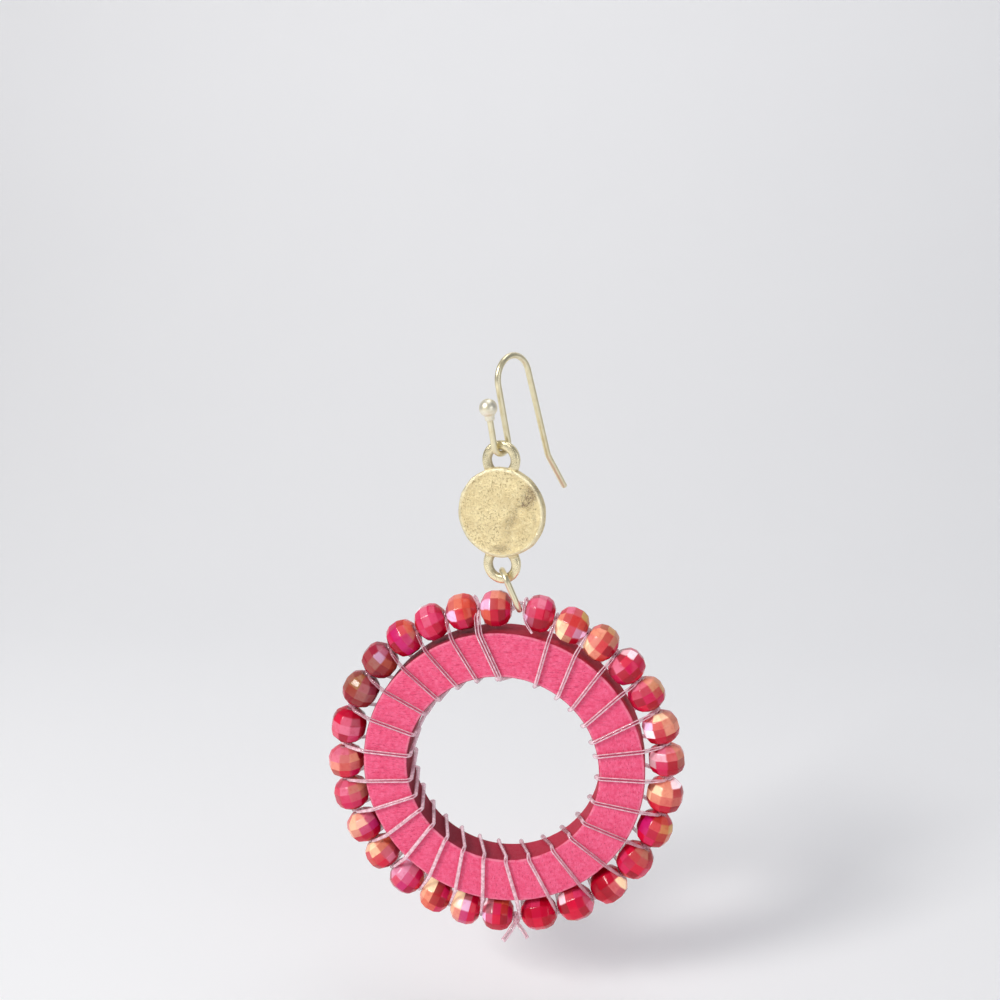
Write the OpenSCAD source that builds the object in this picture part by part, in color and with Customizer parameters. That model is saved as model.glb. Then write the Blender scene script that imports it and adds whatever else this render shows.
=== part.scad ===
// Beaded hoop earring, in millimetres. A flat wooden ring carries a string of
// faceted beads round its rim. Clear filament is whipped round the wood and over
// the string, one turn between each two beads. An oval jump ring hangs the string
// from a cast disc, and the disc hangs in the small loop of a bent-wire ear hook.
// The origin is under the top of the hook's arc, where it sits in the ear.
// +X points right and +Z up, and the hoop and the disc face -Y.

/* [Ear hook] */
// Diameter of the ear wire
hook_wire_d = 0.85; // [0.7:0.05:0.9]
// Radius of the arc that goes through the ear, to the middle of the wire
hook_arc_r = 3.15; // [2.8:0.05:3.6]
// Height of the arc's centre above the centre of the small loop
hook_drop = 8.55; // [8:0.05:11]
// Distance of the small loop's centre in front of the arc's centre
hook_front = 2.6; // [2.2:0.05:2.8]
// Radius of the small loop, to the middle of the wire
hook_loop_r = 1.4; // [1.35:0.05:1.6]
// Length of the straight wire from the small loop up to the ball
hook_front_leg = 5.35; // [4:0.05:6]
// Lean of the straight wire under the ball, out from the upright
hook_front_lean = 12; // [6:1:16]
// Diameter of the ball on the wire's front end
hook_ball_d = 2.45; // [2:0.05:2.6]
// Lean of the tail behind the ear, out from the upright
tail_lean = 19; // [10:1:24]
// Length of the tail above its bend
tail_len = 12.4; // [9:0.1:14]
// Lean of the tail's end below its bend
tail_end_lean = 37; // [30:1:45]
// Length of the straight end of the tail
tail_end_len = 5.4; // [4:0.1:6]
// Turn of the hook's plane away from the front-to-back direction
hook_swivel = 35; // [0:1:35]

/* [Disc link] */
// Diameter of the disc
disc_d = 12.6; // [11:0.1:14]
// Thickness of the disc at its rim
disc_t = 1.4; // [1.2:0.1:1.8]
// Thickness of the loops from front to back
loop_t = 1; // [0.9:0.05:1.1]
// Radius of the loops' holes
loop_hole_r = 1.4; // [1.35:0.05:1.5]
// Width of the loops, from the hole outward
loop_band_w = 1.3; // [1.15:0.05:1.5]
// Depth of the hammer marks in both faces
hammer_depth = 0.12; // [0.05:0.01:0.2]
// Turn of the disc about the upright, with its right edge to the front
disc_turn = 13; // [5:1:18]

/* [Jump ring] */
// Diameter of the jump ring's wire
jump_wire_d = 0.85; // [0.75:0.05:0.9]
// Radius of the jump ring's round ends, to the middle of the wire
jump_end_r = 1.8; // [1.6:0.05:1.85]
// Length of the jump ring, to the middle of the wire at both ends
jump_len = 6; // [5.9:0.05:7]
// Turn of the jump ring about its own length
jump_swivel = 12; // [8:1:12]

/* [Wooden ring] */
// Outer diameter of the wooden ring
wood_outer_d = 40; // [38:0.5:40]
// Inner diameter of the wooden ring
wood_inner_d = 27.2; // [24:0.1:30]
// Thickness of the wooden ring from front to back
wood_t = 5; // [4:0.1:6]
// Radius of the wooden ring's edges
wood_edge_r = 0.3; // [0.2:0.05:0.5]
// Distance of the wood's middle plane behind the beads' middle plane
wood_setback = 0.6; // [0:0.1:1]

/* [Beads] */
// Diameter of a bead
bead_d = 5.2; // [5:0.1:5.6]
// Greatest length of a bead along the string
bead_len_max = 4.8; // [4:0.1:4.8]
// Number of facets round a bead
bead_facets = 10; // [8:1:12]
// Diameter of the hole through a bead
bead_hole_d = 1.1; // [1:0.05:1.1]
// Radius of the circle that the string follows
string_circle_r = 23; // [22.95:0.05:23.2]

/* [Filament] */
// Diameter of the filament
filament_d = 0.6; // [0.4:0.05:0.6]
// Width of the filament where it is pressed between two beads
pressed_w = 0.44; // [0.35:0.01:0.45]
// Number of sides of the wound filament
filament_sides = 6; // [5:1:8]

/* [Hidden] */
$fn = 64;
wire_fn = 32;
round_fn = 24;
ball_fn = 48;
ring_fn = 128;

// Clearance between pieces that lie on each other
seat_gap = 0.06;
// Clearance between linked metal rings
link_gap = 0.1;

// One row for each bead, clockwise from the top as seen from the front:
// angle in degrees to the next bead, turn of the bead about the string in degrees,
// and lean in degrees of the strand after it, from the rim to the hole. A turn of
// the filament is missing in the first row, where the jump ring holds the string.
GAP = 0;
ROLL = 1;
LEAN = 2;
bead_rows = [
    [15.2, 8, 0],
    [11.7, 21, 1.5],
    [11.7, 3, 4.3],
    [12.0, 30, 3.1],
    [11.8, 14, 3.6],
    [12.8, 26, 2.6],
    [11.8, 5, -0.8],
    [13.1, 17, 0.3],
    [13.3, 33, 2.3],
    [14.1, 10, 3.2],
    [13.6, 24, 2.0],
    [14.2, 2, 1.8],
    [14.0, 19, 3.5],
    [15.1, 28, 4.0],
    [11.9, 7, 3.0],
    [11.8, 32, 4.3],
    [12.6, 12, 4.5],
    [12.8, 22, 3.6],
    [11.9, 1, 3.4],
    [13.1, 16, 0.4],
    [12.3, 29, -1.6],
    [13.9, 9, 0.8],
    [14.4, 35, 0.6],
    [13.2, 13, 2.3],
    [12.3, 25, 2.1],
    [11.7, 4, 4.3],
    [11.8, 18, 5.1],
    [11.9, 31, 7.4]
];
bead_count = len(bead_rows);
// Angle of the first bead, clockwise from the top
first_bead_angle = -2;
// Row of the gap that holds the jump ring, and of the gap that holds the knot
jump_row = 0;
knot_row = 13;

function gap_sum(i) = i == 0 ? 0 : bead_rows[i - 1][GAP] + gap_sum(i - 1);
function bead_angle(i) = first_bead_angle + gap_sum(i);
function gap_angle(i) = bead_angle(i) + bead_rows[i][GAP] / 2;
function before(i) = (i + bead_count - 1) % bead_count;

// Length of string between two beads that the filament needs
strand_room = 0.58;
function pitch(i) = 2 * string_circle_r * sin(bead_rows[i][GAP] / 2);
function bead_len(i) = min(bead_len_max, pitch(i) - strand_room, pitch(before(i)) - strand_room);

// Ear hook
hook_wire_r = hook_wire_d / 2;
arc_centre = [0, hook_wire_r - hook_arc_r];
hook_loop_centre = arc_centre - [hook_front, hook_drop];
leg_reach = norm([hook_front, hook_drop]);
leg_lean = atan2(hook_drop, hook_front) - acos((hook_arc_r + hook_loop_r) / leg_reach);
joint_swell = 0.04;
ball_neck_d = 1.3;
ball_neck_len = 1.7;
tail_bend_r = 3;

// Places where the pieces hang, from the top of the hook down
hang_x = -hook_front * sin(hook_swivel);
hang_y = -hook_front * cos(hook_swivel);
disc_hang_z = hook_loop_centre[1] - hook_loop_r + hook_wire_r + link_gap + loop_t / 2;
loop_seat_r = loop_hole_r + loop_t / 2;
loop_out = 0.92;
loop_offset = disc_d / 2 + loop_out;
disc_z = disc_hang_z - loop_seat_r - loop_offset;
disc_low_z = disc_z - loop_offset - loop_seat_r;
jump_top_z = disc_low_z + loop_t / 2 + link_gap + jump_wire_d / 2;
jump_hold_shift = 0.35;
jump_hold_angle = gap_angle(jump_row) + jump_hold_shift;
// The jump ring's wire lies on the string's circle, and lifts the string over it
string_play = 0.2;
string_rise = filament_d / 2 + string_play + jump_wire_d / 2;
string_hold_r = string_circle_r + string_rise;
peak_half_angle = 2;
peak_half_w = 0.52;
jump_side = string_circle_r * sin(jump_hold_angle);

// Weights in milligrams, from densities in milligrams for a cubic millimetre
glass_density = 2.55;
wood_density = 0.65;
brass_density = 8.5;
bead_fill = 0.65;
function bead_weight(i) = glass_density * bead_fill * PI * pow(bead_d / 2, 2) * bead_len(i);
function bead_moment(i) = bead_weight(i) * string_circle_r * sin(bead_angle(i));
function total(values, i = 0) = i == len(values) ? 0 : values[i] + total(values, i + 1);
beads_weight = total([for (i = [0:bead_count - 1]) bead_weight(i)]);
beads_moment = total([for (i = [0:bead_count - 1]) bead_moment(i)]);
wood_weight = wood_density * wood_t * PI * (pow(wood_outer_d / 2, 2) - pow(wood_inner_d / 2, 2));
hoop_weight = beads_weight + wood_weight;
jump_weight = brass_density * 2 * (jump_len + jump_end_r) * PI * pow(jump_wire_d / 2, 2);

// The hoop hangs plumb, with its weight under the middle of the disc's loops
hoop_x = -(beads_moment + jump_weight * jump_side / 2) / (hoop_weight + jump_weight);
jump_lean = asin((jump_side + hoop_x) / jump_len);
hoop_z = jump_top_z - jump_len * cos(jump_lean) - string_circle_r * cos(jump_hold_angle);

// Wooden ring
wood_outer_r = wood_outer_d / 2;
wood_inner_r = wood_inner_d / 2;

// Beads: radius and height of each ring of corners, as shares of the bead's size
CORNER_R = 0;
CORNER_H = 1;
bead_profile = [
    [0.46, 1.00],
    [0.85, 0.71],
    [1.00, 0.31],
    [1.00, -0.31],
    [0.85, -0.71],
    [0.46, -1.00]
];

// Hammer marks: one row for each ring of marks on a face, from the middle out:
// number of marks, distance from the middle, first angle
MARKS = 0;
MARK_R = 1;
MARK_TURN = 2;
front_marks = [[1, 0.6, 40], [3, 3.0, 20], [5, 4.7, 0]];
back_marks = [[1, 0.8, 200], [4, 3.8, 50]];
mark_ball_r = 9;

// Filament
filament_r = filament_d / 2;
pressed_r = pressed_w / 2;
face_offset = filament_r + seat_gap;
over_r = filament_d + seat_gap;
shoulder_in = 0.35;
shoulder_out = 1.45;
wall_share = 0.7;
bend_step = 45;
knot_r = 0.52;
knot_shift = 0.4;
knot_out = 0.3;
tie_r = 0.47;
tie_out = 0.8;
tie_front = 0.8;
tie_neck_r = 0.33;
tie_neck_len = 0.9;
TAIL_LEN = 0;
TAIL_TURN = 1;
TAIL_FRONT = 2;
tail_rows = [[3.2, 219, 30], [2.8, 142, 12]];
knot_strand_turn = -0.95;

wood_pink = [0.91, 0.20, 0.40];
bead_red = [0.80, 0.07, 0.18];
gold = [0.83, 0.73, 0.45];
clear = [0.90, 0.80, 0.82];

bead_names = [for (i = [1:bead_count]) str("bead_", i < 10 ? "0" : "", i)];
other_names = ["ear_hook", "disc_link", "jump_ring", "wood_ring", "bead_string", "wrap_thread"];

// Turns the drawing plane upright: facing the side, or facing the front
module side_plane() {
    rotate([90, 0, 90]) children();
}

module front_plane() {
    rotate([90, 0, 0]) children();
}

// Straight wire in the drawing plane
module wire_line(start, lean, length, d) {
    translate([start[0], start[1], 0])
        rotate([0, 90, lean])
            cylinder(d = d, h = length, $fn = wire_fn);
}

// Bent wire in the drawing plane, about a centre, from one angle over a sweep
module wire_arc(centre, r, from, sweep, d) {
    translate([centre[0], centre[1], 0])
        rotate([0, 0, from])
            rotate_extrude(angle = sweep)
                translate([r, 0]) circle(d = d, $fn = wire_fn);
}

// Slightly larger ball where two stretches of wire or string meet
module wire_joint(at, d) {
    translate([at[0], at[1], 0]) sphere(d = d + joint_swell, $fn = wire_fn);
}

function on_circle(centre, r, a) = centre + r * [cos(a), sin(a)];

module ear_hook() {
    color(gold) rotate([0, 0, -hook_swivel]) side_plane() {
        ear_arc();
        small_loop();
        hook_tail();
    }
}

// Arc through the ear, from the tail side over the top to the front leg
module ear_arc() {
    wire_arc(arc_centre, hook_arc_r, tail_lean, 180 + leg_lean - tail_lean, hook_wire_d);
    wire_line(on_circle(arc_centre, hook_arc_r, 180 + leg_lean), leg_lean - 90, leg_length(), hook_wire_d);
    wire_joint(on_circle(arc_centre, hook_arc_r, 180 + leg_lean), hook_wire_d);
}

function leg_length() = sqrt(pow(leg_reach, 2) - pow(hook_arc_r + hook_loop_r, 2));

// Small loop that holds the disc, with its straight front leg and ball
module small_loop() {
    front_from = 180 + hook_front_lean;
    front_start = on_circle(hook_loop_centre, hook_loop_r, front_from);
    front_way = 90 + hook_front_lean;
    wire_arc(hook_loop_centre, hook_loop_r, front_from, 180 + leg_lean - hook_front_lean, hook_wire_d);
    wire_line(front_start, front_way, hook_front_leg, hook_wire_d);
    neck_at = on_circle(front_start, hook_front_leg - ball_neck_len, front_way);
    wire_line(neck_at, front_way, ball_neck_len, ball_neck_d);
    wire_joint(front_start, hook_wire_d);
    wire_joint(on_circle(hook_loop_centre, hook_loop_r, leg_lean), hook_wire_d);
    ball_at = on_circle(front_start, hook_front_leg, front_way);
    translate([ball_at[0], ball_at[1], 0]) sphere(d = hook_ball_d);
}

// Tail behind the ear, with a bend and a round tip
module hook_tail() {
    tail_start = on_circle(arc_centre, hook_arc_r, tail_lean);
    bend_start = on_circle(tail_start, tail_len, tail_lean - 90);
    bend_centre = on_circle(bend_start, tail_bend_r, tail_lean);
    end_start = on_circle(bend_centre, tail_bend_r, 180 + tail_end_lean);
    tip_start = on_circle(end_start, tail_end_len, tail_end_lean - 90);
    wire_line(tail_start, tail_lean - 90, tail_len, hook_wire_d);
    wire_arc(bend_centre, tail_bend_r, 180 + tail_lean, tail_end_lean - tail_lean, hook_wire_d);
    wire_line(end_start, tail_end_lean - 90, tail_end_len, hook_wire_d);
    wire_joint(tail_start, hook_wire_d);
    wire_joint(bend_start, hook_wire_d);
    wire_joint(end_start, hook_wire_d);
    wire_joint(tip_start, hook_wire_d);
}

module disc_link() {
    color(gold) translate([hang_x, hang_y, disc_z]) rotate([0, 0, -disc_turn]) front_plane() difference() {
        union() {
            disc_body();
            for (side = [-1, 1]) translate([0, side * loop_offset, 0]) disc_loop();
        }
        hammer_marks(front_marks, 1);
        hammer_marks(back_marks, -1);
    }
}

module disc_body() {
    rotate_extrude() {
        translate([0, -disc_t / 2]) square([disc_d / 2 - disc_t / 2, disc_t]);
        translate([disc_d / 2 - disc_t / 2, 0]) intersection() {
            circle(d = disc_t, $fn = wire_fn);
            translate([0, -disc_t]) square([disc_t, 2 * disc_t]);
        }
    }
}

// Flat-sided ring with round inner and outer edges
module disc_loop() {
    rotate_extrude() {
        for (r = [loop_seat_r, loop_hole_r + loop_band_w - loop_t / 2])
            translate([r, 0]) circle(d = loop_t, $fn = wire_fn);
        translate([loop_seat_r, -loop_t / 2]) square([loop_band_w - loop_t, loop_t]);
    }
}

// Shallow round marks that a hammer leaves on one face
module hammer_marks(rings, side) {
    for (ring = rings, k = [0:ring[MARKS] - 1]) {
        a = ring[MARK_TURN] + k * 360 / ring[MARKS];
        lift = side * (disc_t / 2 + mark_ball_r - hammer_depth);
        translate([ring[MARK_R] * cos(a), ring[MARK_R] * sin(a), lift])
            sphere(r = mark_ball_r, $fn = ball_fn);
    }
}

module jump_ring() {
    straight = jump_len - 2 * jump_end_r;
    low = [0, -jump_end_r - straight];
    color(gold)
        translate([hang_x, hang_y, jump_top_z])
            rotate([0, -jump_lean, 0])
                rotate([0, 0, jump_swivel])
                    side_plane() {
                        wire_arc([0, -jump_end_r], jump_end_r, 0, 180, jump_wire_d);
                        wire_arc(low, jump_end_r, 180, 180, jump_wire_d);
                        wire_line([-jump_end_r, -jump_end_r], -90, straight, jump_wire_d);
                        wire_line([jump_end_r, -jump_end_r], -90, straight, jump_wire_d);
                    }
}

// Moves the hoop's own frame, with its centre at zero, to where it hangs
module hang_hoop() {
    translate([hang_x + hoop_x, hang_y, hoop_z]) children();
}

module wood_ring() {
    color(wood_pink) hang_hoop()
        translate([0, wood_setback, 0])
            front_plane()
                rotate_extrude($fn = ring_fn) wood_section();
}

// Section of the wooden band, with round edges
module wood_section() {
    band = wood_outer_r - wood_inner_r;
    mid_r = (wood_outer_r + wood_inner_r) / 2;
    translate([mid_r, 0]) {
        square([band, wood_t - 2 * wood_edge_r], center = true);
        square([band - 2 * wood_edge_r, wood_t], center = true);
        for (x = [-1, 1], y = [-1, 1])
            translate([x * (band / 2 - wood_edge_r), y * (wood_t / 2 - wood_edge_r)])
                circle(r = wood_edge_r, $fn = round_fn);
    }
}

// Place on the hoop: angle clockwise from the top, radius, and distance back
function on_hoop(a, r, y) = [r * sin(a), y, r * cos(a)];

module bead(i) {
    color(bead_red) hang_hoop()
        translate(on_hoop(bead_angle(i), string_circle_r, 0))
            rotate([0, 90 + bead_angle(i), 0])
                rotate([0, 0, bead_rows[i][ROLL]])
                    drilled_bead(bead_len(i));
}

// Faceted bead along Z, with flat ends and a hole for the string
module drilled_bead(length) {
    difference() {
        faceted_bead(length);
        cylinder(d = bead_hole_d, h = 2 * length, center = true, $fn = wire_fn);
    }
}

module faceted_bead(length) {
    rings = len(bead_profile);
    points = [for (row = bead_profile, k = [0:bead_facets - 1])
        let (a = k * 360 / bead_facets, r = row[CORNER_R] * bead_d / 2)
        [r * cos(a), r * sin(a), row[CORNER_H] * length / 2]];
    sides = [for (j = [0:rings - 2], k = [0:bead_facets - 1])
        let (next = (k + 1) % bead_facets, low = j * bead_facets, high = low + bead_facets)
        [low + k, low + next, high + next, high + k]];
    upper_end = [for (k = [0:bead_facets - 1]) bead_facets - 1 - k];
    lower_end = [for (k = [0:bead_facets - 1]) (rings - 1) * bead_facets + k];
    polyhedron(points, concat(sides, [upper_end, lower_end]));
}

// The string's circle, opened at the jump ring, with the rise over its wire
module string_circle() {
    hold_way = 90 - jump_hold_angle;
    middle = on_circle([0, 0], string_hold_r, hold_way);
    front_plane() {
        rotate([0, 0, hold_way + peak_half_angle])
            rotate_extrude(angle = 360 - 2 * peak_half_angle, $fn = ring_fn)
                translate([string_circle_r, 0]) circle(d = filament_d, $fn = wire_fn);
        for (side = [-1, 1]) {
            foot = on_circle([0, 0], string_circle_r, hold_way + side * peak_half_angle);
            top = on_circle(middle, peak_half_w, hold_way + side * 90);
            string_run(foot, top);
            string_run(top, middle);
        }
    }
}

// Straight stretch of string between two places in the drawing plane
module string_run(from, to) {
    way = to - from;
    wire_line(from, atan2(way[1], way[0]), norm(way), filament_d);
    wire_joint(from, filament_d);
}

// String through the beads, with its knot and two cut tails
module bead_string() {
    knot_angle = gap_angle(knot_row) + knot_shift * 180 / PI / string_circle_r;
    color(clear) hang_hoop() {
        string_circle();
        translate(on_hoop(knot_angle, string_circle_r + knot_out, 0))
            sphere(r = knot_r, $fn = wire_fn);
        translate(on_hoop(knot_angle, string_circle_r + tie_out, -tie_front)) {
            sphere(r = tie_r, $fn = wire_fn);
            rotate([0, knot_angle + 180, 0])
                rotate([-atan2(tie_front, tie_out - knot_out), 0, 0])
                    cylinder(r = tie_neck_r, h = tie_neck_len, $fn = round_fn);
            for (row = tail_rows)
                rotate([0, row[TAIL_TURN], 0])
                    rotate([row[TAIL_FRONT], 0, 0])
                        cylinder(r = filament_r, h = row[TAIL_LEN], $fn = round_fn);
        }
    }
}

// Filament wound round the wood and over the string, as one closed tube
module wrap_thread() {
    color(clear) hang_hoop() closed_tube(wrap_path(), filament_r, filament_sides);
}

// Rows of the gaps that hold a turn of the filament, in order
wrap_rows = [for (i = [0:bead_count - 1]) if (i != jump_row) i];

function wrap_path() = [for (k = [0:len(wrap_rows) - 1])
    let (row = wrap_rows[k], next = wrap_rows[(k + 1) % len(wrap_rows)])
    each wrap_turn(strand_angle(row), bead_rows[row][LEAN], strand_angle(next) + (next < row ? 360 : 0))];

function strand_angle(row) = gap_angle(row) + (row == knot_row ? knot_strand_turn : 0);

// One turn: over the string, down the front, through the hole and up the back.
// It starts at angle a, and reaches the next gap at angle a_next. Each entry is a
// place and half the filament's width there, which is less between two beads.
PLACE = 0;
HALF_W = 1;
function wrap_turn(a, lean, a_next) =
    let (
        front_y = wood_setback - wood_t / 2 - face_offset,
        back_y = wood_setback + wood_t / 2 + face_offset,
        bend = wood_edge_r + face_offset,
        edge_r = wood_inner_r + wood_edge_r,
        shoulder_r = string_circle_r - shoulder_in,
        inner = a + lean,
        inner_back = inner + (a_next - inner) * wall_share
    )
    concat(
        [for (t = [90:-bend_step:-90])
            [on_hoop(a, string_circle_r + over_r * cos(t), over_r * sin(t)), pressed_r]],
        [[on_hoop(a, shoulder_r, -shoulder_out), pressed_r]],
        [[on_hoop(a, wood_outer_r, front_y), filament_r]],
        [for (t = [0:bend_step:90])
            [on_hoop(inner, edge_r - bend * sin(t), front_y + bend * (1 - cos(t))), filament_r]],
        [for (t = [90:-bend_step:0])
            [on_hoop(inner_back, edge_r - bend * sin(t), back_y - bend * (1 - cos(t))), filament_r]],
        [[on_hoop(a_next, wood_outer_r, back_y), filament_r]],
        [[on_hoop(a_next, shoulder_r, shoulder_out), pressed_r]]
    );

// Closed tube along a path round the hoop
module closed_tube(path, r, sides) {
    n = len(path);
    points = [for (i = [0:n - 1])
        let (before = path[(i + n - 1) % n], here = path[i], after = path[(i + 1) % n])
        each tube_ring(before[PLACE], here[PLACE], after[PLACE], here[HALF_W], r, sides)];
    faces = [for (i = [0:n - 1], k = [0:sides - 1])
        let (i2 = (i + 1) % n, k2 = (k + 1) % sides)
        [i * sides + k, i2 * sides + k, i2 * sides + k2, i * sides + k2]];
    polyhedron(points, faces, convexity = 10);
}

function unit(v) = v / norm(v);

function tube_ring(before, here, after, half_w, r, sides) =
    let (
        way = unit(after - before),
        round_hoop = unit([here[2], 0, -here[0]]),
        across = unit(round_hoop - (round_hoop * way) * way),
        up = cross(way, across)
    )
    [for (k = [0:sides - 1])
        let (a = (k + 0.5) * 360 / sides)
        here + half_w * cos(a) * across + r * sin(a) * up];

ear_hook();
disc_link();
jump_ring();
wood_ring();
bead_string();
wrap_thread();
for (i = [0:bead_count - 1]) bead(i);
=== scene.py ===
"""Looks for a beaded hoop earring: its fine shapes and finishes, and the light and camera round it.

Sizes are in millimetres in this file, and meshes are made in metres.
"""
import logging
import math
from dataclasses import dataclass
from enum import Enum
from typing import Callable, Optional, Sequence, Union

import bmesh
import bpy
import numpy as np
from mathutils import Euler, Matrix, Vector, noise


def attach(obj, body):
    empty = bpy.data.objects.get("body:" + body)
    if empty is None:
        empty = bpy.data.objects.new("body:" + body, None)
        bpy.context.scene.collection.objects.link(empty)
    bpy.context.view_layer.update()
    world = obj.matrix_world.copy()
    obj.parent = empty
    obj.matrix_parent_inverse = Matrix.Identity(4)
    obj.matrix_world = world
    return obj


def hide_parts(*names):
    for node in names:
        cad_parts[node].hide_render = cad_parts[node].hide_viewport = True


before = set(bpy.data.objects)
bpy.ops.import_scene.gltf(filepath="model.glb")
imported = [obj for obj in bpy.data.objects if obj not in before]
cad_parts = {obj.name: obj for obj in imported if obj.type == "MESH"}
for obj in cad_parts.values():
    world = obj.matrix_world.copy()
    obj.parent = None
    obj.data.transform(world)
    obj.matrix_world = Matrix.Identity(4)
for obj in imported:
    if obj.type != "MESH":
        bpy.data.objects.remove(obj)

MM = 0.001
log = logging.getLogger("earring")

Colour = tuple[float, float, float]
Point = tuple[float, float, float]
Line = tuple[np.ndarray, bool]
Number = Union["Wire", float]
BLACK: Colour = (0.0, 0.0, 0.0)


class Body(Enum):
    """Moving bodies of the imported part."""

    HOOK = "hook"
    DISC = "disc"
    JUMP = "jump"
    HOOP = "hoop"


class Side(Enum):
    """Sides of the disc, as the sign of its depth towards the viewer."""

    FRONT = 1
    BACK = -1


class Tone(Enum):
    """Colours of a bead's facets: the coating's tints, and on the palest ones painted reflections of the
    light.
    """

    WHITE = (1.00, 0.86, 0.94)
    LILAC = (0.92, 0.58, 0.86)
    CREAM = (1.00, 0.74, 0.46)
    PEACH = (0.92, 0.33, 0.22)
    ORANGE = (0.86, 0.14, 0.075)
    OLIVE = (0.66, 0.38, 0.11)
    TAN = (0.66, 0.24, 0.17)
    PINK = (0.90, 0.20, 0.32)
    ROSE = (0.82, 0.05, 0.16)
    MAGENTA = (0.68, 0.012, 0.17)
    CORAL = (0.74, 0.04, 0.035)


# Node graphs


class Wire:
    """One output of a node, with arithmetic that adds Math nodes."""

    def __init__(self, graph: "Graph", socket: bpy.types.NodeSocket) -> None:
        """Keeps the graph and the output socket.

        Args:
            graph: The graph that the socket belongs to.
            socket: The output socket.
        """
        self.graph = graph
        self.socket = socket

    def math(self, operation: str, *others: Number, clamp: bool = False) -> "Wire":
        """Adds one Math node that starts with this value.

        Args:
            operation: The node's operation.
            others: The operation's other values.
            clamp: Whether the result is kept between 0 and 1.

        Returns:
            The node's result.
        """
        values = {0: self, **{i + 1: other for i, other in enumerate(others)}}
        return self.graph.add("ShaderNodeMath", {"operation": operation, "use_clamp": clamp}, values)

    def __add__(self, other: Number) -> "Wire":
        """Sum of two values."""
        return self.math("ADD", other)

    __radd__ = __add__

    def __sub__(self, other: Number) -> "Wire":
        """Difference of two values."""
        return self.math("SUBTRACT", other)

    def __rsub__(self, other: Number) -> "Wire":
        """Difference, with this value taken off the other."""
        return self.graph.add("ShaderNodeMath", {"operation": "SUBTRACT"}, {0: other, 1: self})

    def __mul__(self, other: Number) -> "Wire":
        """Product of two values."""
        return self.math("MULTIPLY", other)

    __rmul__ = __mul__

    def __truediv__(self, other: Number) -> "Wire":
        """Quotient of two values."""
        return self.math("DIVIDE", other)

    def __pow__(self, other: Number) -> "Wire":
        """Power of two values."""
        return self.math("POWER", other)

    def clamped(self) -> "Wire":
        """This value kept between 0 and 1."""
        return self.math("ADD", 0.0, clamp=True)

    def step(self, low: float, high: float) -> "Wire":
        """Smooth step from 0 at low to 1 at high, or down if low is the greater."""
        ends = (low, high, 0.0, 1.0) if low < high else (high, low, 1.0, 0.0)
        values = {0: self, **{i + 1: end for i, end in enumerate(ends)}}
        return self.graph.add("ShaderNodeMapRange", {"interpolation_type": "SMOOTHSTEP"}, values)


class Graph:
    """Nodes of one tree, each added by its type, settings and socket values."""

    def __init__(self, tree: bpy.types.NodeTree) -> None:
        """Keeps the tree that nodes are added to."""
        self.tree = tree

    def add(
        self,
        kind: str,
        settings: Optional[dict[str, object]] = None,
        values: Optional[dict[Union[int, str], object]] = None,
        output: Union[int, str] = 0,
    ) -> Wire:
        """Adds one node.

        Args:
            kind: The node's type name.
            settings: Properties that are set first.
            values: Numbers, colours or wires for input sockets, by index or name.
            output: Index or name of the output that is returned.

        Returns:
            The chosen output.
        """
        node = self.tree.nodes.new(kind)
        for key, value in (settings or {}).items():
            setattr(node, key, value)
        for key, value in (values or {}).items():
            if isinstance(value, Wire):
                self.tree.links.new(value.socket, node.inputs[key])
            else:
                node.inputs[key].default_value = value
        return Wire(self, node.outputs[output])


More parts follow.
